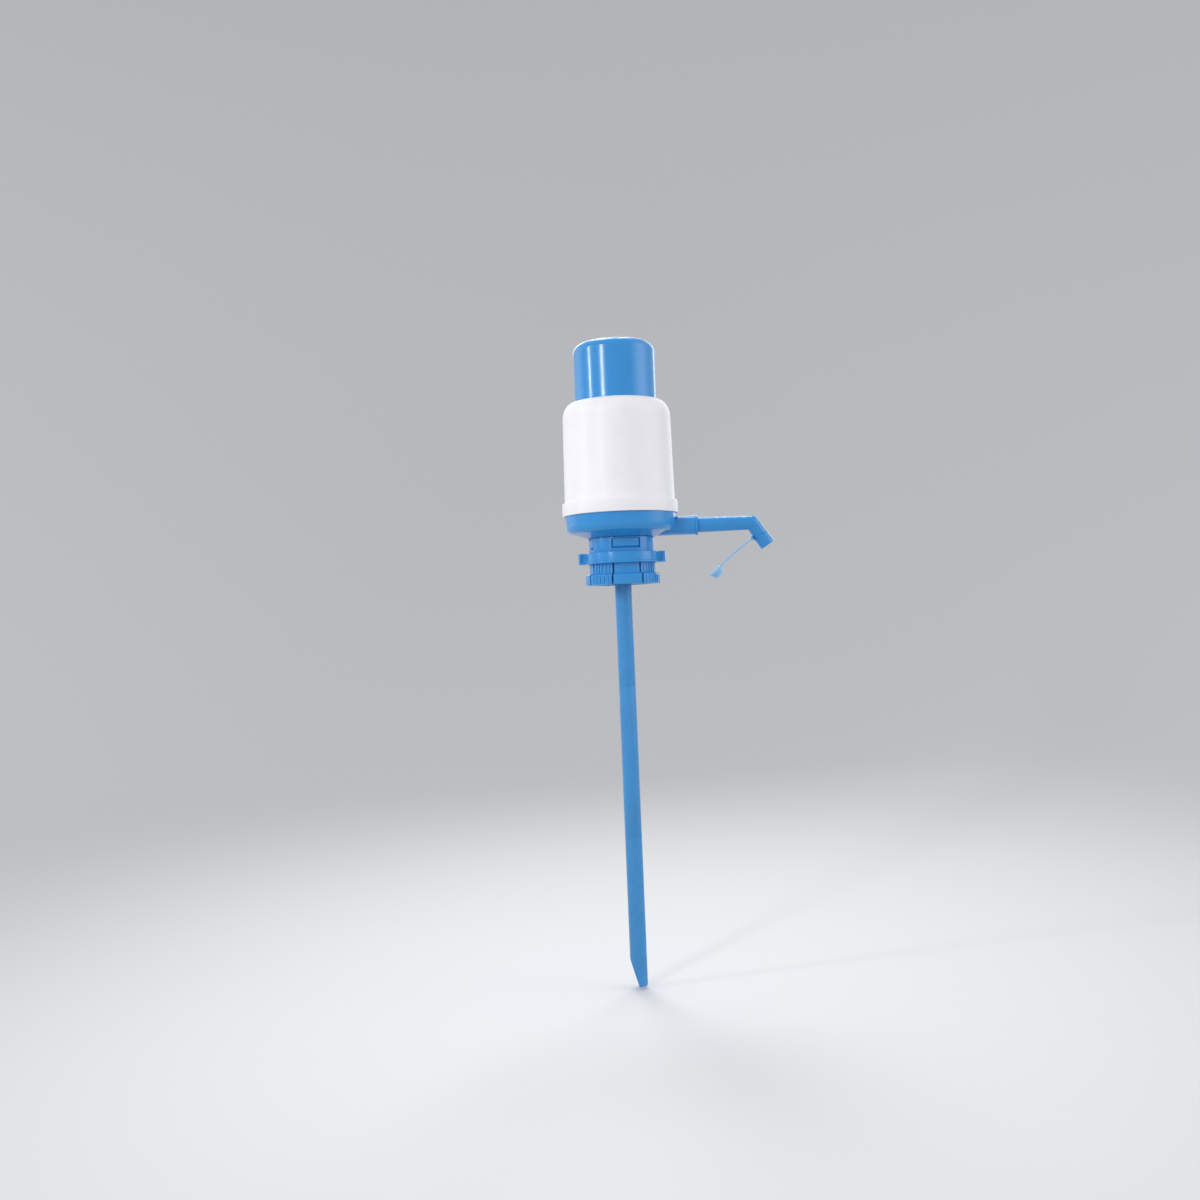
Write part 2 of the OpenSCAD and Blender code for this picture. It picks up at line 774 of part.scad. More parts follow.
module lock_ring() {
    foot_bead = 0.5;
    foot_bead_h = 1.6;
    edge = 0.6;
    rim = 1.8;
    wing_root = 1; // start of a wing inside the ring's wall
    color(blue_c)
        difference() {
            union() {
                revolve([[ring_in_r, ring_z],
                    [ring_r + foot_bead, ring_z],
                    [ring_r + foot_bead, ring_z + foot_bead_h],
                    [ring_r, ring_z + foot_bead_h + foot_bead],
                    [ring_r, ring_z + ring_h - edge],
                    [ring_r - edge, ring_z + ring_h],
                    [ring_in_r + edge, ring_z + ring_h],
                    [ring_in_r, ring_z + ring_h - edge]]);
                intersection() {
                    translate([-wing_reach - over, -wing_w / 2, ring_z])
                        cube([2 * (wing_reach + over), wing_w, ring_h]);
                    revolve([[ring_in_r + wing_root, ring_z],
                        [wing_reach - edge, ring_z],
                        [wing_reach, ring_z + edge],
                        [wing_reach, ring_z + ring_h - edge],
                        [wing_reach - edge, ring_z + ring_h],
                        [ring_in_r + wing_root, ring_z + ring_h]]);
                }
            }
            for (x = [-1, 1], y = [-1, 1])
                wing_pocket_cut(x, y, rim);
        }
}

// Shallow pocket in one long side of a wing
module wing_pocket_cut(x, y, rim) {
    start = sqrt(pow(ring_r, 2) - pow(wing_w / 2, 2)) + rim;
    stop = sqrt(pow(wing_reach, 2) - pow(wing_w / 2, 2)) - rim;
    translate([x > 0 ? start : -stop, y > 0 ? wing_w / 2 - wing_pocket : -wing_w / 2 - over,
        ring_z + rim])
        cube([stop - start, wing_pocket + over, ring_h - 2 * rim]);
}

module spout_seal() {
    section_r = plug_seal_d / 2;
    color(rubber_c)
        along_spout(plug_seat_x + gap)
            rotate_extrude()
                translate([plug_r - section_r, plug_groove_at + plug_groove_h / 2])
                    circle(r = section_r, $fn = 24);
}

module spout() {
    start_x = plug_seat_x + gap;
    shoulder_at = plug_len;
    elbow_at = spout_reach - start_x;
    nose = 0.8;
    ball = 0.15;
    color(blue_c)
        difference() {
            union() {
                along_spout(start_x)
                    revolve([[0, 0],
                        [plug_r - nose, 0],
                        [plug_r, nose],
                        [plug_r, plug_groove_at],
                        [plug_r - plug_groove, plug_groove_at],
                        [plug_r - plug_groove, plug_groove_at + plug_groove_h],
                        [plug_r, plug_groove_at + plug_groove_h],
                        [plug_r, shoulder_at],
                        [spout_root_r, shoulder_at],
                        [elbow_r, elbow_at],
                        [0, elbow_at]]);
                translate([spout_reach, 0, spout_z])
                    sphere(r = elbow_r + ball);
                along_outlet()
                    revolve([[0, 0],
                        [elbow_r, 0],
                        [elbow_r, ring_start],
                        [leg_tip_r, ring_start],
                        [leg_tip_r, outlet_len],
                        [0, outlet_len]]);
            }
            along_spout(start_x - over)
                cylinder(r = passage_r, h = elbow_at + over);
            translate([spout_reach, 0, spout_z])
                sphere(r = passage_r + ball);
            along_outlet()
                cylinder(r = passage_r, h = outlet_len);
            along_outlet()
                translate([0, 0, outlet_len - outlet_bore_len])
                    cylinder(r = outlet_bore_r, h = outlet_bore_len + over);
        }
}

module tether_ring() {
    ring_bore_r = leg_tip_r + push;
    ring_foot = ring_start + push;
    edge = 0.5;
    cradle_in = elbow_r + slip;
    cradle_l = 3.4;
    cradle_bite = 0.4; // how deep its foot stands in the ring's wall
    barrel_play = 0.1;
    color(blue_c)
        along_outlet()
            difference() {
                union() {
                    revolve([[ring_bore_r, ring_foot],
                        [tether_r, ring_foot],
                        [tether_r, outlet_len - edge],
                        [tether_r - edge, outlet_len],
                        [ring_bore_r, outlet_len]]);
                    translate([cradle_in, -strap_w / 2, pivot_along - cradle_l / 2])
                        cube([pivot_out - cradle_in, strap_w, cradle_l]);
                    translate([ring_bore_r + cradle_bite, -strap_w / 2, ring_start + gap])
                        cube([tether_r - ring_bore_r, strap_w, cradle_l / 2]);
                }
                translate([pivot_out, 0, pivot_along])
                    rotate([90, 0, 0])
                        cylinder(r = barrel_r + barrel_play, h = strap_w + 2 * over,
                            center = true);
            }
}

// The strap's arc lies in the plane of the spout, with the plug inside the curve
module stopper() {
    head_drop = 1;
    plug_wall = 1.3;
    plug_edge = 1;
    plug_taper = 0.4;
    head_rise = 0.3;
    barrel_play = 1; // over both ends, in the cradle
    plug_end = -strap_t / 2 - stopper_depth;
    color(pale_blue_c)
        union() {
            translate([pivot[0], 0, pivot[1]])
                rotate([90, 0, 0])
                    cylinder(r = barrel_r, h = strap_w - barrel_play, center = true,
                        $fn = 48);
            translate([strap_centre[0], 0, strap_centre[1]]) {
                rotate([90, 0, 0])
                    rotate([0, 0, strap_start_a])
                        rotate_extrude(angle = stopper_a - strap_start_a, $fn = 720)
                            translate([strap_arc_r, 0])
                                square([strap_t, strap_w], center = true);
                rotate([0, 90 - stopper_a, 0])
                    translate([0, 0, strap_arc_r])
                        difference() {
                            revolve([[0, plug_end],
                                [stopper_plug_r - plug_taper, plug_end],
                                [stopper_plug_r, plug_end + plug_edge],
                                [stopper_plug_r, -strap_t / 2 - head_drop],
                                [stopper_r, -strap_t / 2 - head_drop],
                                [stopper_r, strap_t / 2 + head_rise],
                                [0, strap_t / 2 + head_rise]]);
                            translate([0, 0, plug_end - over])
                                cylinder(r = stopper_plug_r - plug_wall,
                                    h = stopper_depth, $fn = 48);
                        }
            }
        }
}

// Section of tube whose upper end is at z, with a spigot that enters the one above
module tube_section(z) {
    neck_h = 2;
    taper_h = 1.2;
    lead_h = 1;
    lead_in = 0.4;
    revolve([[tube_bore_r, z - tube_len],
        [tube_r, z - tube_len],
        [tube_r, z],
        [spigot_r, z],
        [spigot_r, z + spigot_len - lead_h],
        [spigot_r - lead_in, z + spigot_len],
        [spigot_bore_r, z + spigot_len],
        [spigot_bore_r, z - neck_h],
        [tube_bore_r, z - neck_h - taper_h]]);
}

module tube_upper() {
    color(blue_c)
        revolve([[tube_bore_r, tube_seat_z - tube_len],
            [tube_r, tube_seat_z - tube_len],
            [tube_r, tube_seat_z],
            [tube_bore_r, tube_seat_z]]);
}

module tube_middle() {
    color(blue_c)
        tube_section(tube_seat_z - tube_len);
}

module tube_lower() {
    foot_z = tube_seat_z - 3 * tube_len;
    cut_slope = atan2(tube_r, foot_cut);
    color(blue_c)
        difference() {
            tube_section(tube_seat_z - 2 * tube_len);
            translate([-tube_r, 0, foot_z + foot_cut])
                rotate([0, -cut_slope, 0])
                    translate([-2 * tube_r, -2 * tube_r, -3 * foot_cut])
                        cube([2 * tube_r, 4 * tube_r, 3 * foot_cut]);
        }
}

press_cap();
top_plate();
inlet_valve();
bellows();
return_spring();
bellows_retainer();
housing();
valve_plate();
outlet_valve();
plate_seal();
base();
neck_seal();
clamp_collar();
lock_ring();
spout_seal();
spout();
tether_ring();
stopper();
tube_upper();
tube_middle();
tube_lower();
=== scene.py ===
"""Water jug hand pump: its visible pieces, their finishes, the stage and the camera."""

import math
from types import SimpleNamespace

import bmesh
import bpy
from mathutils import Matrix, Vector


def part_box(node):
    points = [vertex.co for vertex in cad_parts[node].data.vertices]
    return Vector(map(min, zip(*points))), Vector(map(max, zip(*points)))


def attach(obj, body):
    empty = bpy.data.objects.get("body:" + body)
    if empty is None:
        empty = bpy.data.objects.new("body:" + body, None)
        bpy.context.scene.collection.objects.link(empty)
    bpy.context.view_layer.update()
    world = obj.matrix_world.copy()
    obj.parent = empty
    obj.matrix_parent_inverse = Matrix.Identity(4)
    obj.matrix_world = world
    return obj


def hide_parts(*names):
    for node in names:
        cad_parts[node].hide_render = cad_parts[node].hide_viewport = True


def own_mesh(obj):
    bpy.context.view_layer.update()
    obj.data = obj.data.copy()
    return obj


bl_info = {
    "name": "Water Jug Hand Pump",
    "version": (1, 0, 0),
    "blender": (4, 5, 0),
    "location": "View3D > Sidebar > Jug Pump",
    "description": "Builds a hand pump for a large water jug around its fixed frame",
    "category": "Object",
}

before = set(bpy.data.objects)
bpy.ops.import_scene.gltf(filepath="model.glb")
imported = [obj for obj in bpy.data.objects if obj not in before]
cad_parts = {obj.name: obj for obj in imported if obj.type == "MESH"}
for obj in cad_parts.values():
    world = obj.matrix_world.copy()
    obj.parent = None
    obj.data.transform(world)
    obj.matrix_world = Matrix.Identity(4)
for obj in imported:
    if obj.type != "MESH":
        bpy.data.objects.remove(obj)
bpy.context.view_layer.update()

MM = 0.001
SIDES = 180  # of a large turned piece
SMALL_SIDES = 96  # of a small turned piece
BAR_SIDES = 64  # of a round bar
BARREL_SIDES = 48  # of the strap's hinge
HOLE_SIDES = 32  # of a small hole
ARC_STEPS = 5  # straight steps in a small rounded edge
SMOOTH_ANGLE = math.radians(32)

# millimetres
PAST = 1.0  # a cutter reaches this far beyond the solid
WINDOW_DROP = 1.3  # from the drum's floor down to the collar's windows
FOOT_WIDTH = 6.0  # of the bellows' lower flange beyond the folds
LEG_STEP = 0.6  # down from the elbow to the leg inside the strap's ring

COLLAR_GROUPS = 4  # windows, lugs and ribbed fingers round the collar


# ---------------------------------------------------------------- settings


def length(name, text, value_mm):
    """A size, kept in metres and given here in millimetres."""
    return bpy.props.FloatProperty(
        name=name,
        description=text,
        default=value_mm * MM,
        min=0.0,
        precision=5,
        unit="LENGTH",
        subtype="DISTANCE",
    )


def angle(name, text, degrees):
    return bpy.props.FloatProperty(
        name=name, description=text, default=math.radians(degrees), subtype="ANGLE"
    )


def count(name, text, number):
    return bpy.props.IntProperty(name=name, description=text, default=number, min=1)


def tint(name, text, value):
    return bpy.props.FloatVectorProperty(
        name=name,
        description=text,
        default=(*value, 1.0),
        size=4,
        min=0.0,
        max=1.0,
        subtype="COLOR",
    )


class JugPumpColours(bpy.types.PropertyGroup):
    """Colours of the pump's materials."""

    blue: tint("Blue", "Moulded blue plastic of cap, base and collar", (0.027, 0.282, 0.675))
    tube: tint("Tube", "Blue plastic of the dip tube", (0.050, 0.290, 0.640))
    # painted highlight: ring, strap and stopper are one blue plastic, and this paler tint paints
    # the light along the strap onto strap and stopper
    strap: tint("Stopper", "Soft pale blue plastic of strap and stopper", (0.270, 0.570, 0.850))
    white: tint("White", "Moulded white plastic of the housing", (0.905, 0.893, 0.925))
    inner: tint("Inner white", "White plastic of the plates inside", (0.780, 0.780, 0.770))
    bellows: tint("Bellows", "Milky flexible plastic", (0.640, 0.680, 0.690))
    rubber: tint("Rubber", "Seals and valve flaps", (0.030, 0.034, 0.040))
    steel: tint("Steel", "Spring wire", (0.560, 0.565, 0.570))
    backdrop: tint("Backdrop", "Floor and backdrop", (0.740, 0.745, 0.755))


class JugPumpSizes(bpy.types.PropertyGroup):
    """Sizes of the pieces; their heights come from the frame's own boxes."""

    cap_r: length("Cap radius", "Outer radius of the press cap", 39.0)
    cap_wall: length("Cap wall", "Wall of the press cap", 2.2)
    cap_corner: length("Cap corner", "Radius of the cap's upper corner", 9.0)
    cap_crown: length("Cap crown", "Rise of the crown in the middle of the cap", 1.2)
    cap_flange_w: length("Cap flange width", "Width of the flange that stops the cap", 4.0)
    cap_flange_t: length("Cap flange height", "Thickness of that flange", 3.0)
    cap_rib_t: length("Cap rib", "Thickness of a rib under the cap's roof", 2.0)
    cap_rib_in_r: length("Cap rib start", "Distance from the axis to a roof rib", 12.0)
    cap_ribs: count("Cap ribs", "Ribs under the cap's roof", 6)

    housing_low_r: length("Housing low radius", "Radius of the housing above its rim", 52.4)
    housing_top_r: length("Housing top radius", "Radius under the shoulder", 51.3)
    housing_wall: length("Housing wall", "Wall of the housing", 2.4)
    shoulder_h: length("Shoulder", "Height of the rounded shoulder", 16.0)
    rim_r: length("Rim radius", "Outer radius of the flared rim", 54.95)
    rim_wall: length("Rim wall", "Wall of the flared rim", 1.8)
    rim_h: length("Rim height", "Height of the flared rim", 12.5)
    guide_r: length("Guide radius", "Inner radius of the cap's guide", 39.4)
    guide_wall: length("Guide wall", "Wall of the cap's guide", 1.8)
    guide_len: length("Guide length", "Length of the cap's guide", 20.0)

    drum_r: length("Drum radius", "Outer radius of the base's drum", 53.0)
    drum_draft: length("Drum draft", "Narrowing of the drum towards its floor", 1.0)
    drum_wall: length("Drum wall", "Wall of the drum", 2.4)
    drum_corner: length("Drum corner", "Radius of the drum's lower corner", 7.0)
    floor_rise: length("Floor rise", "Rise of the drum's sloping floor", 4.5)
    ceiling_t: length("Ceiling", "Thickness of the ceiling over the neck", 2.5)
    neck_r: length("Neck radius", "Inner radius of skirt and collar", 28.0)
    skirt_wall: length("Skirt wall", "Wall of the skirt round the neck", 1.6)
    skirt_drop: length("Skirt drop", "Drop of the skirt below the jug's lip", 7.0)
    column_r: length("Column radius", "Radius of the column that holds the tube", 11.0)
    port_r: length("Port radius", "Radius of an air port", 2.0)
    ports: count("Ports", "Air ports through the ceiling", 6)
    seal_in_r: length("Seal bore", "Inner radius of the neck seal", 19.5)
    seal_lip_r: length("Seal lip", "Radius of the seal's lip in the jug's mouth", 22.9)

    sleeve_r: length("Sleeve radius", "Outer radius of the collar's sleeve", 31.65)
    sleeve_wall: length("Sleeve wall", "Wall of the collar's sleeve", 1.9)
    finger_r: length("Finger radius", "Outer radius of the clamping fingers", 31.6)
    rib_depth: length("Rib depth", "Depth of a grip rib", 0.55)
    rib_w: length("Rib width", "Width of a grip rib", 1.8)
    rib_pitch: length("Rib pitch", "Distance from one grip rib to the next", 3.8)
    ribs: count("Ribs", "Grip ribs on each ribbed finger", 5)
    slot_w: length("Slot width", "Width of a slot between two fingers", 2.0)
    tongue_w: length("Tongue width", "Width of a smooth tongue", 23.3)
    window_w: length("Window width", "Width of a window in the sleeve", 27.0)
    window_h: length("Window height", "Height of a window in the sleeve", 9.7)
    lug_w: length("Lug width", "Width of the snap lug in a window", 24.0)
    flange_h: length("Flange height", "Height of the collar's flange", 10.4)
    flange_w: length("Flange width", "Width of that flange beyond the fingers", 4.0)
    hook_depth: length("Hook depth", "Depth of the hook under the neck's crown", 2.5)
    hook_h: length("Hook height", "Height of the hook", 6.0)
    collar_turn: angle("Collar turn", "Turn of the collar towards the spout", 8.0)

    ring_r: length("Ring radius", "Outer radius of the lock ring", 36.0)
    ring_in_r: length("Ring bore", "Inner radius of the lock ring", 32.5)
    ring_bead: length("Ring bead", "Depth of the bead round the ring's foot", 0.5)
    wing_reach: length("Wing reach", "Distance from the axis to a wing's tip", 42.0)
    wing_w: length("Wing width", "Width of a wing", 22.0)
    wing_pocket: length("Wing pocket", "Depth of the pocket in a wing's side", 1.2)

    fold_out_r: length("Fold radius", "Outer radius of the bellows' folds", 34.0)
    fold_in_r: length("Fold inner radius", "Inner radius of the bellows' folds", 27.0)
    fold_wall: length("Fold wall", "Wall of the bellows", 1.4)
    folds: count("Folds", "Folds of the bellows", 12)
    bellows_flange_t: length("Bellows flange", "Thickness of the end flanges", 1.5)
    spring_r: length("Spring radius", "Mean radius of the return spring", 18.0)
    wire_r: length("Wire radius", "Radius of the spring's wire", 1.1)
    turns: count("Turns", "Turns of the spring", 12)
    plate_t: length("Valve plate", "Thickness of the valve plate", 3.0)
    top_plate_t: length("Top plate", "Thickness of the bellows' top plate", 2.5)
    flap_r: length("Flap radius", "Radius of a valve flap", 11.0)
    valve_hole_r: length("Valve hole", "Radius of a hole under a flap", 2.0)
    valve_holes: count("Valve holes", "Holes under a valve flap", 6)
    stem_r: length("Stem radius", "Radius of a flap's stem", 1.5)
    retainer_t: length("Retainer", "Thickness of the bellows' clamping ring", 3.0)

    spout_z: length("Spout height", "Height of the spout's axis above the jug's lip", 16.0)
    socket_r: length("Socket radius", "Outer radius of the spout's socket", 8.95)
    socket_reach: length("Socket reach", "Distance from the axis to the socket's mouth", 73.0)
    plug_r: length("Plug radius", "Radius of the plug that turns in the socket", 6.95)
    plug_len: length("Plug length", "Length of that plug", 20.0)
    root_r: length("Spout root", "Radius of the spout where it leaves the socket", 7.25)
    elbow_r: length("Spout elbow", "Radius of the spout at its elbow", 6.8)
    spout_reach: length("Spout reach", "Distance from the axis to the elbow", 124.5)
    outlet_slope: angle("Outlet slope", "Slope of the outlet leg", 57.0)
    outlet_len: length("Outlet length", "Length of the outlet leg", 26.0)
    passage_r: length("Passage", "Radius of the water passage", 4.8)
    outlet_bore_r: length("Outlet bore", "Radius of the outlet's socket", 5.2)
    outlet_bore_len: length("Outlet bore depth", "Depth of the outlet's socket", 12.0)

    tether_r: length("Tether radius", "Outer radius of the strap's ring", 7.2)
    tether_len: length("Tether length", "Length of that ring", 12.0)
    barrel_r: length("Barrel radius", "Radius of the hinge at the strap's root", 1.2)
    strap_len: length("Strap length", "Length of the strap with its stopper", 53.0)
    strap_t: length("Strap thickness", "Thickness of the strap", 1.6)
    strap_w: length("Strap width", "Width of the strap", 6.0)
    strap_slope: angle("Strap slope", "Slope of the strap at its ring", 34.0)
    strap_bend: angle("Strap bend", "Angle that the strap bends through", 12.0)
    stopper_r: length("Stopper radius", "Radius of the stopper's head", 7.0)
    stopper_depth: length("Stopper depth", "Length of the stopper's plug", 5.0)

    tube_r: length("Tube radius", "Outer radius of the dip tube", 8.0)
    tube_bore_r: length("Tube bore", "Bore radius of the dip tube", 6.5)
    spigot_len: length("Spigot length", "Length of the spigot between two sections", 15.0)
    spigot_wall: length("Spigot wall", "Wall of that spigot", 1.1)
    foot_cut: length("Foot cut", "Height of the slanted cut at the tube's foot", 26.0)


class JugPumpStage(bpy.types.PropertyGroup):
    """Camera and floor."""

    lens: bpy.props.FloatProperty(
        name="Lens", description="Focal length on a 36 mm sensor", default=34.65, min=10.0
    )
    distance: length("Distance", "From the camera to the pump's axis", 1100.0)
    eye_drop: length("Eye drop", "Depth of the camera below the jug's lip", 62.0)
    floor_drop: length("Floor drop", "Depth of the floor below the jug's lip", 421.0)
    pitch: angle("Pitch", "Upward tilt of the camera", 0.54)
    lean: angle("Lean", "Lean of the pump to the left in the picture", 2.35)
    pan: angle("Pan", "Turn of the camera to the left of the pump's axis", 1.18)


class JugPumpSettings(bpy.types.PropertyGroup):
    """All settings of the pump."""

    colours: bpy.props.PointerProperty(type=JugPumpColours)
    sizes: bpy.props.PointerProperty(type=JugPumpSizes)
    stage: bpy.props.PointerProperty(type=JugPumpStage)


def sizes():
    """The pump's sizes in millimetres, with its counts and angles as they are."""
    group = bpy.context.scene.jug_pump.sizes
    found = SimpleNamespace()
    for key, prop in group.bl_rna.properties.items():
        if prop.type == "FLOAT" and prop.subtype == "DISTANCE":
            setattr(found, key, getattr(group, key) / MM)
        elif prop.type in {"FLOAT", "INT"}:
            setattr(found, key, getattr(group, key))
    return found


def box_of(node):
    """A node's lower and upper corner in millimetres."""
    return [[value / MM for value in corner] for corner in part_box(node)]


def levels(node):
    """A node's lowest and highest level in millimetres."""
    low, high = box_of(node)
    return low[2], high[2]


def drum_floor(s):
    """Level of the drum's floor round the neck."""
    return levels("neck_seal")[1] + s.ceiling_t


def in_metres(lengths):
    """The same named lengths, which are given in millimetres."""
    return {key: value * MM for key, value in lengths.items()}


# ---------------------------------------------------------------- node helpers


class Tree:
    """Short calls for building a node tree."""

    def __init__(self, tree):
        self.tree = tree

    def add(self, kind, inputs=None, **settings):
        node = self.tree.nodes.new(kind)
        for key, value in settings.items():
            setattr(node, key, value)
        for key, value in (inputs or {}).items():
            self.feed(node.inputs[key], value)
        return node

    def feed(self, socket, value):
        if isinstance(value, bpy.types.NodeSocket):
            self.tree.links.new(value, socket)
        else:
            socket.default_value = value

    def math(self, operation, a, b=0.0):
        return self.add("ShaderNodeMath", {0: a, 1: b}, operation=operation).outputs[0]

    def minus(self, a, b):
        return self.math("SUBTRACT", a, b)

    def over(self, a, b):
        return self.math("DIVIDE", a, b)

    def sum(self, *values):
        total = values[0]
        for value in values[1:]:
            total = self.math("ADD", total, value)
        return total

    def times(self, *values):
        total = values[0]
        for value in values[1:]:
            total = self.math("MULTIPLY", total, value)
        return total

    def remap(self, value, low, high, to_low=0.0, to_high=1.0, **settings):
        given = {0: value, 1: low, 2: high, 3: to_low, 4: to_high}
        return self.add("ShaderNodeMapRange", given, clamp=True, **settings).outputs[0]

    def vector(self, x=0.0, y=0.0, z=0.0):
        return self.add("ShaderNodeCombineXYZ", {0: x, 1: y, 2: z}).outputs[0]

    def round_axis(self, turn, radius, height):
        """A point at a turn about the Z axis."""
        x = self.times(self.math("COSINE", turn), radius)
        y = self.times(self.math("SINE", turn), radius)
        return self.vector(x, y, height)

    def place(self):
        return self.add("ShaderNodeTexCoord").outputs["Object"]

    def mix(self, factor, a, b):
        node = self.add("ShaderNodeMix", data_type="RGBA")
        for key, value in ((0, factor), (6, a), (7, b)):
            self.feed(node.inputs[key], value)
        return node.outputs[2]

    def noise(self, vector, scale, detail=3.0, roughness=0.5):
        given = {"Vector": vector, "Scale": scale, "Detail": detail, "Roughness": roughness}
        return self.add("ShaderNodeTexNoise", given).outputs["Fac"]

    def stretched(self, vector, scale):
        return self.add("ShaderNodeMapping", {"Vector": vector, "Scale": scale}).outputs[0]


def new_tree(name, kind, inputs, outputs):
    """A node tree with the given sockets, and its input sockets and output node."""
    group = bpy.data.node_groups.new(name, kind)
    for label, socket, default in inputs:
        made = group.interface.new_socket(name=label, in_out="INPUT", socket_type=socket)
        made.default_value = default
    for label, socket in outputs:
        group.interface.new_socket(name=label, in_out="OUTPUT", socket_type=socket)
    tree = Tree(group)
    return tree, tree.add("NodeGroupInput").outputs, tree.add("NodeGroupOutput")


# ---------------------------------------------------------------- materials


def moulded_finish():
    """Colour drift, moulding grain, fine rubbing marks and dust of a moulded surface."""
    number, colour = "NodeSocketFloat", "NodeSocketColor"
    tree, given, out = new_tree(
        "moulded_finish",
        "ShaderNodeTree",
        [
            ("Color", colour, (0.5, 0.5, 0.5, 1.0)),
            ("Drift", number, 0.06),
            ("Roughness", number, 0.3),
            ("Grain", number, 0.2),
            ("Rubbing", number, 0.3),
            ("Dust", number, 0.2),
        ],
        [("Color", colour), ("Roughness", number), ("Normal", "NodeSocketVector")],
    )
    place = tree.place()
    # the colour drifts in clouds and in upright flow lines
    cloud = tree.noise(place, 38.0, 4.0, 0.55)
    flow = tree.noise(tree.stretched(place, (90.0, 90.0, 14.0)), 1.0, 3.0)
    drift = tree.sum(tree.times(cloud, 0.6), tree.times(flow, 0.4))
    shade = tree.times(tree.remap(drift, 0.3, 0.7, -1.0, 1.0), given["Drift"])
    tone = {"Vector": given["Color"], "Scale": tree.sum(shade, 1.0)}
    paint = tree.add("ShaderNodeVectorMath", tone, operation="SCALE").outputs[0]

    # rubbing leaves fine upright and level marks in patches
    upright = tree.noise(tree.stretched(place, (1500.0, 1500.0, 55.0)), 1.0, 2.0, 0.7)
    across = tree.noise(tree.stretched(place, (120.0, 160.0, 2100.0)), 1.0, 2.0, 0.7)
    patch = tree.remap(tree.noise(place, 55.0, 2.0), 0.48, 0.68)
    marks = tree.math("MAXIMUM", tree.remap(upright, 0.66, 0.74), tree.remap(across, 0.67, 0.75))
    marks = tree.times(marks, patch, given["Rubbing"])

    # dust lies in rare small specks
    specks = tree.add("ShaderNodeTexVoronoi", {"Vector": place, "Scale": 420.0})
    speck = tree.remap(specks.outputs["Distance"], 0.05, 0.13, 1.0, 0.0)
    rare = tree.remap(tree.noise(place, 170.0, 1.0), 0.60, 0.66)
    dust = tree.times(speck, rare, given["Dust"])

    rubbed_colour, dust_colour = (0.9, 0.93, 0.96, 1.0), (0.78, 0.79, 0.80, 1.0)
    paint = tree.mix(tree.times(marks, 0.35), paint, rubbed_colour)
    paint = tree.mix(dust, paint, dust_colour)
    tree.feed(out.inputs["Color"], paint)

    haze = tree.times(tree.minus(cloud, 0.5), 0.1)
    rough = tree.sum(given["Roughness"], haze, tree.times(marks, 0.3), tree.times(dust, 0.45))
    tree.feed(out.inputs["Roughness"], tree.remap(rough, 0.0, 1.0))

    orange_peel = tree.times(tree.noise(place, 620.0, 2.0), given["Grain"])
    wave = tree.times(tree.noise(place, 60.0, 1.0, 0.4), 0.5)
    height = tree.sum(orange_peel, wave, tree.times(marks, -0.12), tree.times(dust, 0.15))
    bump = tree.add("ShaderNodeBump", {"Height": height, "Strength": 0.35, "Distance": 0.0001})
    tree.feed(out.inputs["Normal"], bump.outputs["Normal"])
    return tree.tree


def new_material(name):
    """A new material, its node tree and its shader."""
    material = bpy.data.materials.new(name)
    material.use_nodes = True
    return material, Tree(material.node_tree), material.node_tree.nodes["Principled BSDF"]


def moulded(name, colour, roughness, drift=0.06, grain=0.2, rubbing=0.3, dust=0.2, **fixed):
    """A plastic or rubber with the moulded finish; fixed holds the shader's constant values."""
    material, tree, shader = new_material(name)
    finish = tree.add("ShaderNodeGroup")
    finish.node_tree = bpy.data.node_groups.get("moulded_finish") or moulded_finish()
    values = {
        "Color": tuple(colour),
        "Drift": drift,
        "Roughness": roughness,
        "Grain": grain,
        "Rubbing": rubbing,
        "Dust": dust,
    }
    for key, value in values.items():
        tree.feed(finish.inputs[key], value)
    for key, output in (("Base Color", "Color"), ("Roughness", "Roughness"), ("Normal", "Normal")):
        tree.feed(shader.inputs[key], finish.outputs[output])
    for key, value in fixed.items():
        shader.inputs[key.replace("_", " ")].default_value = value
    return material


def drawn_steel(name, colour):
    """Drawn wire: bright metal with fine lines and faint stains."""
    material, tree, shader = new_material(name)
    place = tree.place()
    lines = tree.noise(tree.stretched(place, (900.0, 900.0, 5200.0)), 1.0, 3.0, 0.6)
    stain = tree.remap(tree.noise(place, 120.0, 3.0), 0.45, 0.75, 0.0, 0.35)
    stain_colour = (0.33, 0.32, 0.31, 1.0)
    tree.feed(shader.inputs["Base Color"], tree.mix(stain, tuple(colour), stain_colour))
    shader.inputs["Metallic"].default_value = 1.0
    tree.feed(shader.inputs["Roughness"], tree.remap(lines, 0.3, 0.7, 0.16, 0.36))
    bump = tree.add("ShaderNodeBump", {"Height": lines, "Strength": 0.2, "Distance": 0.00005})
    tree.feed(shader.inputs["Normal"], bump.outputs["Normal"])
    return material


def translucent(weight, radius, scale):
    """The shader's values for light that spreads inside the material."""
    return dict(Subsurface_Weight=weight, Subsurface_Radius=radius, Subsurface_Scale=scale)


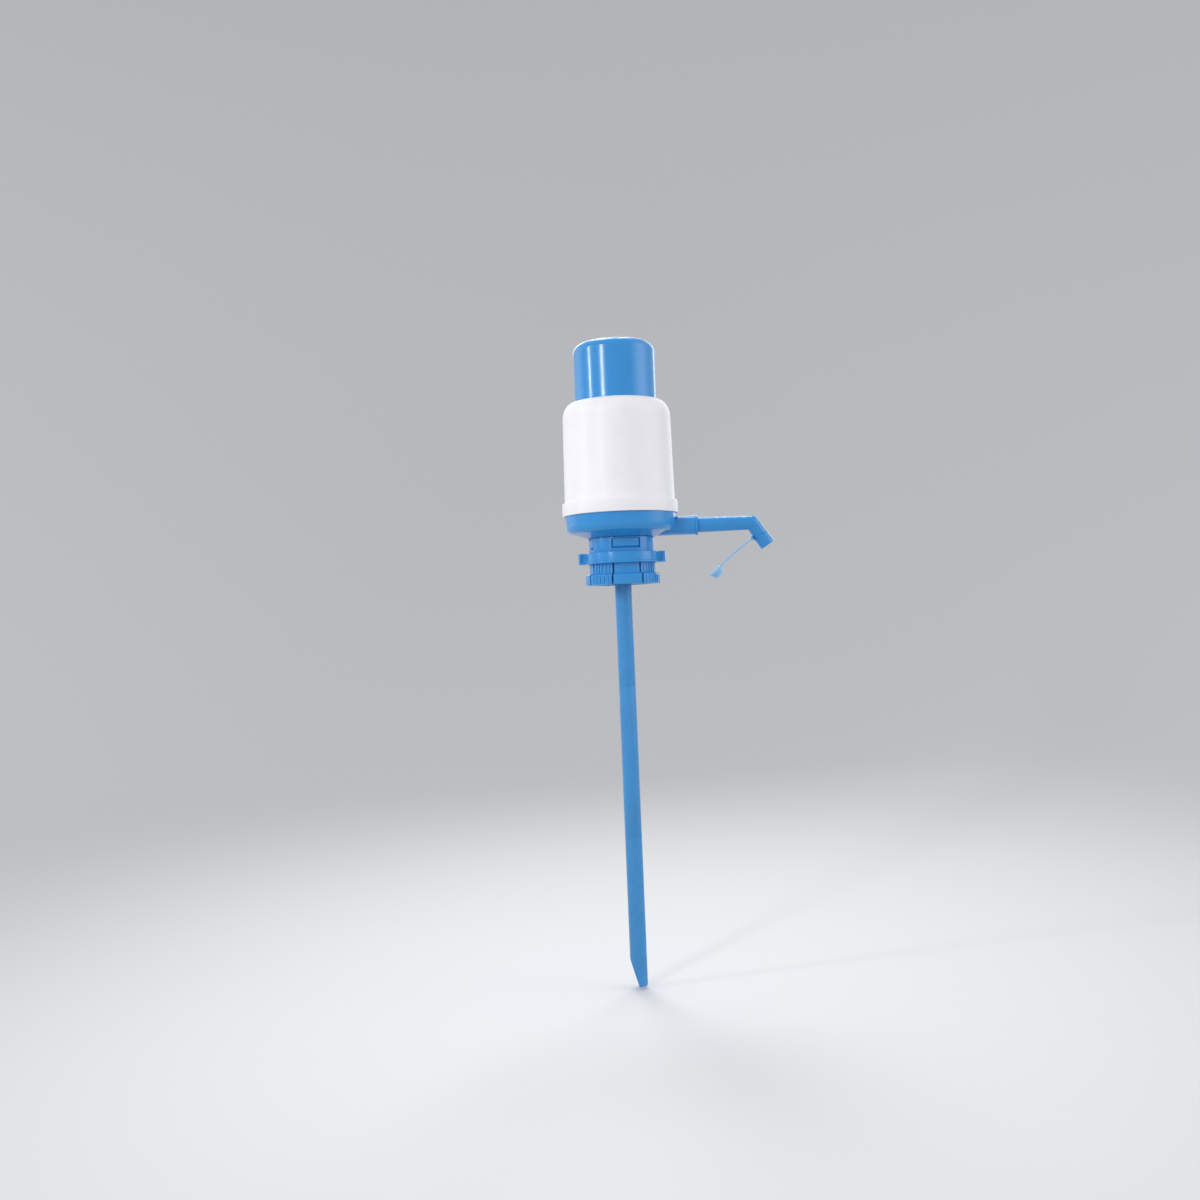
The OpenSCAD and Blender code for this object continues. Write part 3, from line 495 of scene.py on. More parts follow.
def material_named(name):
    """One of the pump's materials, made when it is first asked for.

    The frame has plain materials with the slots' names, so these have a name of their own.
    """
    look = f"{name}_look"
    if look in bpy.data.materials:
        return bpy.data.materials[look]
    tints = bpy.context.scene.jug_pump.colours
    if name == "spring_steel":
        return drawn_steel(look, tints.steel)
    # how far red, green and blue light spread, in metres
    milky_blue = (0.003, 0.006, 0.012)
    milky_white = (0.01, 0.01, 0.009)
    milky = (0.008, 0.008, 0.008)
    recipes = {
        "blue_plastic": dict(
            colour=tints.blue,
            roughness=0.2,
            drift=0.04,
            grain=0.1,
            Coat_Weight=0.2,
            Coat_Roughness=0.05,
            **translucent(0.12, milky_blue, 0.25),
        ),
        "tube_plastic": dict(
            colour=tints.tube,
            roughness=0.28,
            drift=0.07,
            rubbing=0.5,
            **translucent(0.18, milky_blue, 0.25),
        ),
        # painted highlight: strap and stopper get a paler blue than the ring of the same plastic,
        # for the light along the strap
        "stopper_plastic": dict(
            colour=tints.strap, roughness=0.34, **translucent(0.2, milky_blue, 0.2)
        ),
        "white_plastic": dict(
            colour=tints.white,
            roughness=0.44,
            drift=0.03,
            grain=0.35,
            Coat_Weight=0.06,
            Coat_Roughness=0.25,
            **translucent(0.1, milky_white, 0.3),
        ),
        "inner_plastic": dict(colour=tints.inner, roughness=0.45, drift=0.04, grain=0.4),
        "soft_plastic": dict(
            colour=tints.bellows,
            roughness=0.42,
            drift=0.05,
            **translucent(0.35, milky, 0.4),
        ),
        "rubber": dict(colour=tints.rubber, roughness=0.58, drift=0.08, grain=0.6, dust=0.5),
    }
    return moulded(look, **recipes[name])


# ---------------------------------------------------------------- outlines


def rounded(corners):
    """Points of a closed outline; a corner given as (r, z, rounding) becomes an arc."""
    least, most = math.radians(3), math.radians(88)  # half angles that are worth an arc
    points = []
    for i, corner in enumerate(corners):
        here = Vector(corner[:2])
        radius = corner[2] if len(corner) > 2 else 0.0
        before = Vector(corners[i - 1][:2]) - here
        after = Vector(corners[(i + 1) % len(corners)][:2]) - here
        if radius <= 0 or before.length < 1e-6 or after.length < 1e-6:
            points.append(tuple(here))
            continue
        u, v = before.normalized(), after.normalized()
        half = math.acos(max(-1.0, min(1.0, u.dot(v)))) / 2
        if not least < half < most:
            points.append(tuple(here))
            continue
        reach = min(radius / math.tan(half), 0.49 * before.length, 0.49 * after.length)
        centre = here + (u + v).normalized() * (reach / math.cos(half))
        start, stop = here + u * reach - centre, here + v * reach - centre
        turn = math.atan2(start.x * stop.y - start.y * stop.x, start.dot(stop))
        for k in range(ARC_STEPS + 1):
            points.append(tuple(centre + Matrix.Rotation(turn * k / ARC_STEPS, 2) @ start))
    return points


def arc(centre, rx, ry, start, stop, steps=14):
    """Points of an elliptical arc, in degrees."""
    turns = [math.radians(start + (stop - start) * k / steps) for k in range(steps + 1)]
    return [(centre[0] + rx * math.cos(a), centre[1] + ry * math.sin(a)) for a in turns]


def circle(centre, radius, steps=24):
    """Points of a circle, without the first one again."""
    return arc(centre, radius, radius, 0, 360 - 360 / steps, steps - 1)


def band(inner, outer, low, high, edges):
    """Corners of a ring's section, with the roundings of its four edges."""
    corners = [(inner, low), (outer, low), (outer, high), (inner, high)]
    return [(*corner, edge) for corner, edge in zip(corners, edges)]


def groove(radius, depth, low, high, outer_edge, inner_edge):
    """Corners of a groove round a wall, from its lower side up."""
    floor = radius - depth
    return [
        (radius, low, outer_edge),
        (floor, low, inner_edge),
        (floor, high, inner_edge),
        (radius, high, outer_edge),
    ]


def crown(radius, z, rise, steps=8):
    """Points of a shallow crown that rises from a radius at height z to the axis."""
    shares = [1 - k / steps for k in range(1, steps + 1)]
    return [(radius * x, z + rise * (1 - x * x)) for x in shares]


# ---------------------------------------------------------------- solids


def cleaned(made, same, flat):
    """Takes points that lie on each other and faces without area out of a bmesh."""
    bmesh.ops.remove_doubles(made, verts=made.verts, dist=same)
    bmesh.ops.dissolve_degenerate(made, dist=flat, edges=made.edges)


def loft(rings, closed):
    """A bmesh of equal rings of points, joined in a circle or capped at both ends."""
    made = bmesh.new()
    verts = [[made.verts.new(p) for p in ring] for ring in rings]
    pairs = list(zip(verts, verts[1:]))
    if closed:
        pairs.append((verts[-1], verts[0]))
    number = len(rings[0])
    for one, two in pairs:
        for i in range(number):
            k = (i + 1) % number
            made.faces.new((one[i], two[i], two[k], one[k]))
    if not closed:
        made.faces.new(verts[0])
        made.faces.new(verts[-1])
    cleaned(made, same=1e-5, flat=1e-6)
    bmesh.ops.recalc_face_normals(made, faces=made.faces)
    return made


def turned(outline, steps=SIDES, sweep=math.tau):
    """A closed (r, z) outline turned about Z, all the way or evenly about the X direction."""
    whole = sweep == math.tau
    start = 0.0 if whole else -sweep / 2
    turns = [start + sweep * i / steps for i in range(steps if whole else steps + 1)]
    rings = [[(r * math.cos(a), r * math.sin(a), z) for r, z in outline] for a in turns]
    return loft(rings, whole)


def lathe(corners, steps=SIDES):
    """A solid turned about Z from corners that may be rounded."""
    return turned(rounded(corners), steps)


def rod(radius, low, high, edge=0.0, steps=BAR_SIDES):
    """A round bar along Z."""
    return lathe([(0, low), (radius, low, edge), (radius, high, edge), (0, high)], steps)


def ball(radius, steps=SMALL_SIDES):
    """A sphere at the origin."""
    near_pole = 88
    side = arc((0, 0), radius, radius, -near_pole, near_pole, steps // 2)
    return turned([(0, -radius), *side, (0, radius)], steps)


def block(low, high, edge=0.0):
    """A box between two corners, with its edges rounded."""
    made = bmesh.new()
    bmesh.ops.create_cube(made, size=1.0)
    low, high = Vector(low), Vector(high)
    bmesh.ops.scale(made, vec=high - low, verts=made.verts)
    bmesh.ops.translate(made, vec=(low + high) / 2, verts=made.verts)
    if edge > 0:
        bmesh.ops.bevel(
            made, geom=made.edges[:], offset=edge, segments=3, profile=0.5, affect="EDGES"
        )
    return made


def prism(outline, low, high, edge):
    """An (x, y) outline between two heights, with its upper and lower rim rounded."""
    points = [Vector(p) for p in outline]
    outward = []
    for i, p in enumerate(points):
        before = (p - points[i - 1]).normalized()
        after = (points[(i + 1) % len(points)] - p).normalized()
        normals = [Vector((d.y, -d.x)) for d in (before, after)]
        mitre = (normals[0] + normals[1]).normalized()
        sharpest = 0.3  # keeps the inset of a sharp corner short
        outward.append(mitre / max(sharpest, mitre.dot(normals[0])))
    steps = []
    for k in range(ARC_STEPS + 1):
        a = math.pi / 2 * k / ARC_STEPS
        steps.append((edge * (1 - math.sin(a)), low + edge * (1 - math.cos(a))))
    steps += [(inset, low + high - z) for inset, z in reversed(steps)]
    rings = []
    for inset, z in steps:
        inner = [p - n * inset for p, n in zip(points, outward)]
        rings.append([(p.x, p.y, z) for p in inner])
    return loft(rings, False)


def moved(made, *matrices):
    """The same bmesh, moved by the product of some matrices, in millimetres."""
    matrix = Matrix.Identity(4)
    for step in matrices:
        matrix = matrix @ step
    bmesh.ops.transform(made, matrix=matrix, verts=made.verts)
    return made


def about(axis, turn):
    return Matrix.Rotation(turn, 4, axis)


def shift(x, y, z):
    return Matrix.Translation((x, y, z))


def cross_bar(radius, half, x, z, edge=0.0):
    """A round bar along Y, that reaches as far to both sides."""
    bar = rod(radius, -half, half, edge, BARREL_SIDES)
    return moved(bar, shift(x, 0, z), about("X", math.pi / 2))


def new_object(name, data):
    """An object of some data, linked to the scene."""
    thing = bpy.data.objects.new(name, data)
    bpy.context.scene.collection.objects.link(thing)
    return thing


def joined(*parts):
    """One bmesh of several that don't touch."""
    whole = bmesh.new()
    for part in parts:
        holder = bpy.data.meshes.new("holder")
        part.to_mesh(holder)
        part.free()
        whole.from_mesh(holder)
        bpy.data.meshes.remove(holder)
    return whole


def spread(make, number, start=0.0):
    """A shape made again and again, spread evenly round the Z axis."""
    turns = [start + math.tau * i / number for i in range(number)]
    return joined(*[moved(make(), about("Z", turn)) for turn in turns])


def combined(base, operation, *tools):
    """The exact union or difference of one bmesh with others, in turn."""
    for tool in tools:
        things = []
        for part in (base, tool):
            mesh = bpy.data.meshes.new("part")
            part.to_mesh(mesh)
            part.free()
            things.append(new_object("part", mesh))
        cut = things[0].modifiers.new("combine", "BOOLEAN")
        cut.operation = operation
        cut.solver = "EXACT"
        cut.object = things[1]
        result = things[0].evaluated_get(bpy.context.evaluated_depsgraph_get())
        base = bmesh.new()
        base.from_mesh(result.to_mesh())
        result.to_mesh_clear()
        for thing in things:
            mesh = thing.data
            bpy.data.objects.remove(thing)
            bpy.data.meshes.remove(mesh)
        cleaned(base, same=1e-4, flat=1e-4)
        if not base.faces:
            raise RuntimeError("two solids could not be combined")
    return base


def united(base, *tools):
    return combined(base, "UNION", *tools)


def carved(base, *tools):
    return combined(base, "DIFFERENCE", *tools)


def mesh_of(name, made):
    """A mesh in metres of a bmesh in millimetres, which is freed."""
    bmesh.ops.scale(made, vec=(MM, MM, MM), verts=made.verts)
    mesh = bpy.data.meshes.new(name)
    made.to_mesh(mesh)
    made.free()
    return mesh


# ---------------------------------------------------------------- pieces


def place_piece(name, mesh, body, slot, finish, nodes):
    """Shades a mesh that is in the frame's metres and puts it on its body.

    It has its slot's finish unless another is given.
    """
    mesh.materials.clear()
    mesh.materials.append(material_named(finish or slot))
    mesh.shade_smooth()
    mesh.set_sharp_from_angle(angle=SMOOTH_ANGLE)
    # the node that it replaces already has the plain name
    piece = new_object(f"{name}_dressed" if nodes else name, mesh)
    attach(piece, body)
    if nodes:
        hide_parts(*nodes)
    return piece


def add_piece(name, made, body, slot, nodes=(), finish=None):
    """Makes a piece of a bmesh in millimetres."""
    bmesh.ops.recalc_face_normals(made, faces=made.faces)
    return place_piece(name, mesh_of(name, made), body, slot, finish, nodes)


def add_grown(name, tree, inputs, body, slot, nodes=()):
    """Makes a piece with a geometry node tree, whose inputs are set by name."""
    holder = new_object("holder", bpy.data.meshes.new("holder"))
    modifier = holder.modifiers.new("shape", "NODES")
    modifier.node_group = tree
    for item in tree.interface.items_tree:
        if item.in_out == "INPUT":
            modifier[item.identifier] = inputs[item.name]
    graph = bpy.context.evaluated_depsgraph_get()
    mesh = bpy.data.meshes.new_from_object(holder.evaluated_get(graph), depsgraph=graph)
    mesh.name = name
    bpy.data.objects.remove(holder)
    if not mesh.polygons:
        raise RuntimeError(f"the node tree of {name} gave no faces")
    return place_piece(name, mesh, body, slot, None, nodes)


def ending(tree, out, geometry, material):
    """The last nodes of a geometry tree."""
    real = tree.add("GeometryNodeRealizeInstances", {0: geometry}).outputs[0]
    painted = tree.add("GeometryNodeSetMaterial", {"Geometry": real})
    painted.inputs["Material"].default_value = material_named(material)
    tree.feed(out.inputs[0], painted.outputs[0])
    return tree.tree


GEOMETRY = [("Geometry", "NodeSocketGeometry")]


def bars_round_axis():
    """Upright bars with rounded edges, in groups that are spread evenly round the Z axis."""
    if "bars_round_axis" in bpy.data.node_groups:
        return bpy.data.node_groups["bars_round_axis"]
    number, whole = "NodeSocketFloat", "NodeSocketInt"
    tree, given, out = new_tree(
        "bars_round_axis",
        "GeometryNodeTree",
        [
            ("Groups", whole, 4),
            ("Bars", whole, 5),
            ("Bar Turn", number, 0.1),
            ("First Turn", number, 0.0),
            ("Radius", number, 0.03),
            ("Depth", number, 0.001),
            ("Width", number, 0.002),
            ("Low", number, 0.0),
            ("High", number, 0.01),
            ("Rounding", number, 0.0003),
        ],
        GEOMETRY,
    )
    total = tree.times(given["Groups"], given["Bars"])
    points = tree.add("GeometryNodePoints", {"Count": total}).outputs[0]
    index = tree.add("GeometryNodeInputIndex").outputs[0]
    # the small sum keeps a whole quotient from being rounded down to the group before
    group = tree.math("FLOOR", tree.over(tree.sum(index, 0.001), given["Bars"]))
    in_group = tree.minus(index, tree.times(group, given["Bars"]))
    middle = tree.times(tree.minus(given["Bars"], 1.0), 0.5)
    bar_turn = tree.times(tree.minus(in_group, middle), given["Bar Turn"])
    group_turn = tree.times(group, tree.over(math.tau, given["Groups"]))
    turn = tree.sum(given["First Turn"], group_turn, bar_turn)
    spin = tree.add("FunctionNodeEulerToRotation", {0: tree.vector(z=turn)}).outputs[0]

    face = tree.add("GeometryNodeCurvePrimitiveQuadrilateral")
    tree.feed(face.inputs["Width"], given["Width"])
    tree.feed(face.inputs["Height"], given["Depth"])
    soft = tree.add("GeometryNodeFilletCurve", {"Curve": face.outputs[0]}, mode="POLY")
    tree.feed(soft.inputs["Count"], 3)
    tree.feed(soft.inputs["Radius"], given["Rounding"])
    low = tree.vector(given["Radius"], 0.0, given["Low"])
    high = tree.vector(given["Radius"], 0.0, given["High"])
    path = tree.add("GeometryNodeCurvePrimitiveLine", {"Start": low, "End": high}).outputs[0]
    shape = {"Curve": path, "Profile Curve": soft.outputs[0], "Fill Caps": True}
    bar = tree.add("GeometryNodeCurveToMesh", shape).outputs[0]
    shape = {"Points": points, "Instance": bar, "Rotation": spin}
    copies = tree.add("GeometryNodeInstanceOnPoints", shape).outputs[0]
    return ending(tree, out, copies, "blue_plastic")


def coil_spring():
    """A round wire wound into a spring whose first and last turn are closed."""
    number = "NodeSocketFloat"
    tree, given, out = new_tree(
        "coil_spring",
        "GeometryNodeTree",
        [
            ("Radius", number, 0.018),
            ("Wire Radius", number, 0.001),
            ("Turns", number, 12.0),
            ("Low", number, 0.0),
            ("High", number, 0.1),
        ],
        GEOMETRY,
    )
    line = tree.add("GeometryNodeCurvePrimitiveLine").outputs[0]
    points = 481
    path = tree.add("GeometryNodeResampleCurve", {"Curve": line, "Count": points}).outputs[0]
    share = tree.add("GeometryNodeSplineParameter").outputs["Factor"]
    turn = tree.times(share, given["Turns"])
    last = tree.minus(given["Turns"], 1.0)
    # a closed turn rises by a little more than the wire's thickness
    closed = tree.times(given["Wire Radius"], 2.1)
    low = tree.sum(given["Low"], given["Wire Radius"])
    high = tree.minus(given["High"], given["Wire Radius"])
    rise = tree.minus(tree.minus(high, low), tree.times(closed, 2.0))
    height = tree.sum(
        low,
        tree.remap(turn, 0.0, 1.0, 0.0, closed),
        tree.remap(turn, 1.0, last, 0.0, rise),
        tree.remap(turn, last, given["Turns"], 0.0, closed),
    )
    winding = tree.round_axis(tree.times(turn, math.tau), given["Radius"], height)
    shape = {"Geometry": path, "Position": winding}
    coil = tree.add("GeometryNodeSetPosition", shape).outputs[0]
    section = {"Resolution": 14, "Radius": given["Wire Radius"]}
    wire = tree.add("GeometryNodeCurvePrimitiveCircle", section).outputs[0]
    shape = {"Curve": coil, "Profile Curve": wire, "Fill Caps": True}
    solid = tree.add("GeometryNodeCurveToMesh", shape).outputs[0]
    return ending(tree, out, solid, "spring_steel")


def folded_wall(folds):
    """A thin wall that is folded like an accordion and closed round the Z axis."""
    number = "NodeSocketFloat"
    tree, given, out = new_tree(
        "folded_wall",
        "GeometryNodeTree",
        [
            ("Folds", number, 12.0),
            ("Inner Radius", number, 0.027),
            ("Outer Radius", number, 0.034),
            ("Wall", number, 0.0014),
            ("Low", number, 0.0),
            ("High", number, 0.1),
        ],
        GEOMETRY,
    )
    steps_of_fold = 8
    steps = steps_of_fold * folds
    columns = 2 * (steps + 1)
    shape = {"Size X": 1.0, "Size Y": 1.0}
    shape.update({"Vertices X": SMALL_SIDES + 1, "Vertices Y": columns + 1})
    grid = tree.add("GeometryNodeMeshGrid", shape).outputs[0]
    here = tree.add("GeometryNodeInputPosition").outputs[0]
    split = tree.add("ShaderNodeSeparateXYZ", {0: here}).outputs
    swing = tree.times(tree.sum(split[0], 0.5), math.tau)
    # the columns run up the outside, down the inside and back to the first one
    column = tree.math("ROUND", tree.times(tree.sum(split[1], 0.5), float(columns)))
    column = tree.math("MODULO", tree.sum(column, columns - 1.0), float(columns))
    outside = tree.math("LESS_THAN", column, steps + 0.5)
    inside = tree.minus(1.0, outside)
    up = tree.times(column, outside)
    down = tree.times(tree.minus(columns - 1.0, column), inside)
    share = tree.over(tree.sum(up, down), float(steps))
    zigzag = tree.math("PINGPONG", tree.times(share, given["Folds"], 2.0), 1.0)
    bend = tree.remap(zigzag, 0.0, 1.0, interpolation_type="SMOOTHSTEP")
    # the folds are a mix of a sharp zigzag and a soft wave
    wave = tree.sum(tree.times(zigzag, 0.45), tree.times(bend, 0.55))
    reach = tree.minus(given["Outer Radius"], given["Inner Radius"])
    radius = tree.sum(given["Inner Radius"], tree.times(wave, reach))
    radius = tree.minus(radius, tree.times(given["Wall"], inside))
    rise = tree.times(share, tree.minus(given["High"], given["Low"]))
    wall = tree.round_axis(swing, radius, tree.sum(given["Low"], rise))
    shape = {"Geometry": grid, "Position": wall}
    folded = tree.add("GeometryNodeSetPosition", shape).outputs[0]
    shape = {"Geometry": folded, "Distance": 0.00001}
    closed = tree.add("GeometryNodeMergeByDistance", shape).outputs[0]
    return ending(tree, out, closed, "soft_plastic")


# ---------------------------------------------------------------- operators


class JUGPUMP_OT_press_cap(bpy.types.Operator):
    """Makes the press cap with the ribs under its roof"""

    bl_idname = "jug_pump.press_cap"
    bl_label = "Press cap"

    def execute(self, context):
        s = sizes()
        low, high = levels("press_cap")
        corner_z = high - s.cap_crown - s.cap_corner
        crown_r = s.cap_r - s.cap_corner
        in_corner = s.cap_corner - s.cap_wall
        middle = (crown_r, corner_z)
        outer = arc(middle, s.cap_corner, s.cap_corner, 0, 90, 18)
        outer += crown(crown_r, corner_z + s.cap_corner, s.cap_crown)
        inner = arc(middle, in_corner, in_corner, 0, 90)
        inner += crown(crown_r, corner_z + in_corner, s.cap_crown)
        flange_r = s.cap_r + s.cap_flange_w
        skirt = [
            (s.cap_r - s.cap_wall, low, 0.3),
            (flange_r, low, 0.4),
            (flange_r, low + s.cap_flange_t, 0.4),
            (s.cap_r, low + s.cap_flange_t, 0.5),
        ]
        solid = lathe(skirt + outer + inner[::-1])
        add_piece("press_cap", solid, "cap", "blue_plastic", ["press_cap"])

        into_roof = 1.2  # how deep under the cap's edge the ribs end, inside the roof
        inputs = {"Groups": s.cap_ribs, "Bars": 1, "Bar Turn": 0.0, "First Turn": 0.0}
        lengths = {
            "Radius": (crown_r + s.cap_rib_in_r) / 2,
            "Depth": crown_r - s.cap_rib_in_r,
            "Width": s.cap_rib_t,
            "Low": levels("top_plate")[1],
            "High": corner_z + s.cap_corner - into_roof,
            "Rounding": 0.3,
        }
        inputs.update(in_metres(lengths))
        add_grown("press_cap_ribs", bars_round_axis(), inputs, "cap", "blue_plastic")
        return {"FINISHED"}


class JUGPUMP_OT_housing(bpy.types.Operator):
    """Makes the white housing with its flared rim, rounded shoulder and cap guide"""

    bl_idname = "jug_pump.housing"
    bl_label = "Housing"

    def execute(self, context):
        s = sizes()
        low, high = levels("housing")
        ledge = levels("base")[1] + s.plate_t
        rim_top = low + s.rim_h
        rim_in_r = s.rim_r - s.rim_wall
        shoulder_z = high - s.shoulder_h
        guide_z = high - s.guide_len
        guide_out_r = s.guide_r + s.guide_wall
        lip_w, bead_depth = 0.5, 0.6
        lip_r = guide_out_r + lip_w
        top_in_r = s.housing_top_r - s.housing_wall
        bead_r = rim_in_r - bead_depth
        bead_foot, bead_low, bead_high, bead_top = low + 1.8, low + 2.4, low + 3.6, low + 4.2
        reach = s.housing_top_r - lip_r
        shoulder = arc((lip_r, shoulder_z), reach, s.shoulder_h, 0, 88, 22)
        vault_h = s.shoulder_h - s.housing_wall
        vault = arc((guide_out_r, shoulder_z), top_in_r - guide_out_r, vault_h, 90, 0)
        corners = [
            (rim_in_r, low, 0.3),
            (s.rim_r, low, 0.7),
            (s.rim_r, rim_top, 0.9),
            (s.housing_low_r, rim_top, 0.35),
            *shoulder,
            (s.guide_r, high, 0.45),
            (s.guide_r, guide_z, 0.4),
            (guide_out_r, guide_z, 0.4),
            *vault,
            (s.housing_low_r - s.housing_wall, ledge),
            (rim_in_r, ledge),
            (rim_in_r, bead_top),
            (bead_r, bead_high, 0.2),
            (bead_r, bead_low, 0.2),
            (rim_in_r, bead_foot),
        ]
        add_piece("housing", lathe(corners), "pump_body", "white_plastic", ["housing"])
        return {"FINISHED"}


def on_spout(s, x):
    """Puts a shape made along +Z onto the spout's axis, pointing to +X."""
    return shift(x, 0, s.spout_z) @ about("Y", math.pi / 2)


def on_outlet(s):
    """Puts a shape made along +Z onto the outlet leg's axis."""
    return shift(s.spout_reach, 0, s.spout_z) @ about("Y", math.pi / 2 + s.outlet_slope)


class JUGPUMP_OT_base(bpy.types.Operator):
    """Makes the base: its drum, the water passage with the spout's socket, and the snap lugs"""

    bl_idname = "jug_pump.base"
    bl_label = "Base"

    def execute(self, context):
        s = sizes()
        lip_len, lip_rise = 2.4, 0.85
        lip = s.socket_reach - lip_len
        lip_r = s.socket_r + lip_rise
        corners = [
            (0, 0),
            (s.socket_r, 0),
            (s.socket_r, lip, 0.3),
            (lip_r, lip, 0.35),
            (lip_r, s.socket_reach, 0.4),
            (0, s.socket_reach),
        ]
        socket = moved(lathe(corners, SMALL_SIDES), on_spout(s, 0))
        column_foot = levels("base")[0]
        edge = 0.5
        column = rod(s.column_r, column_foot, s.spout_z + s.socket_r - edge, edge)
        solid = united(self.drum(s), self.lugs(s), column, socket)
        solid = carved(solid, *self.holes(s))
        add_piece("base", solid, "pump_body", "blue_plastic", ["base"])
        return {"FINISHED"}

    def drum(self, s):
        top = levels("base")[1]
        rim_z = levels("housing")[0]
        ceiling = levels("neck_seal")[1]
        floor = ceiling + s.ceiling_t
        low_r = s.drum_r - s.drum_draft
        middle = (low_r - s.drum_corner, floor + s.floor_rise + s.drum_corner)
        in_corner = s.drum_corner - s.drum_wall
        skirt_r = s.neck_r + s.skirt_wall
        sleeve_play, into_skirt = 0.3, 1
        snap_depth, snap_low, snap_high = 0.8, rim_z + 1.4, rim_z + 4.6
        corners = [
            (0, ceiling),
            (s.neck_r, ceiling, 0.3),
            (s.neck_r, -s.skirt_drop, 0.4),
            (skirt_r, -s.skirt_drop, 0.5),
            (skirt_r, floor, 0.3),
            (s.sleeve_r + sleeve_play, floor, 0.5),
            *arc(middle, s.drum_corner, s.drum_corner, -90, 0, 16),
            *groove(s.drum_r, snap_depth, snap_low, snap_high, 0.2, 0.2),
            (s.drum_r, top, 0.3),
            (low_r - s.drum_wall, top, 0.3),
            *arc(middle, in_corner, in_corner, 0, -90, 12),
            (skirt_r, floor + s.drum_wall, 0.5),
            (s.neck_r - into_skirt, floor),
            (0, floor),
        ]
        return lathe(corners)

    def lugs(self, s):
        play, ramp, steps = 0.4, 1.5, 24
        window_top = drum_floor(s) - WINDOW_DROP
        skirt_r = s.neck_r + s.skirt_wall
        lug_r = s.sleeve_r - play
        low = window_top - s.window_h + play
        high = window_top - play
        inner = skirt_r - s.skirt_wall / 2
        corners = [
            (inner, low),
            (skirt_r, low),
            (lug_r, low + ramp, 0.3),
            (lug_r, high, 0.3),
            (inner, high),
        ]
        sweep = 2 * math.asin(s.lug_w / 2 / lug_r)
        first = s.collar_turn - math.pi / 2
        return spread(lambda: turned(rounded(corners), steps, sweep), COLLAR_GROUPS, first)

    def holes(self, s):
        column_foot = levels("base")[0]
        ceiling = levels("neck_seal")[1]
        seat_z = levels("tube_upper")[1]
        tube_play, wider, plug_play, flare = 0.05, 0.3, 0.08, 0.4
        tube_hole_r = s.tube_r + tube_play
        chamber_r = s.passage_r + wider
        tube_hole = [
            (0, column_foot - PAST),
            (tube_hole_r, column_foot - PAST),
            (tube_hole_r, seat_z),
            (chamber_r, seat_z),
            (chamber_r, s.spout_z + chamber_r),
            (0, s.spout_z + chamber_r),
        ]
        plug_seat = s.socket_reach - s.plug_len
        plug_hole_r = s.plug_r + plug_play
        mouth_r = plug_hole_r + flare
        plug_hole = [
            (0, 0),
            (s.passage_r, 0),
            (s.passage_r, plug_seat),
            (plug_hole_r, plug_seat),
            (plug_hole_r, s.socket_reach - flare),
            (mouth_r, s.socket_reach),
            (mouth_r, s.socket_reach + PAST),
            (0, s.socket_reach + PAST),
        ]
        pitch_r = (s.column_r + s.seal_in_r) / 2

        def port():
            low, high = ceiling - PAST, ceiling + s.ceiling_t + PAST
            return moved(rod(s.port_r, low, high, steps=HOLE_SIDES), shift(pitch_r, 0, 0))

        return [
            lathe(tube_hole, SMALL_SIDES),
            moved(lathe(plug_hole, SMALL_SIDES), on_spout(s, 0)),
            spread(port, s.ports, math.pi / s.ports),
        ]


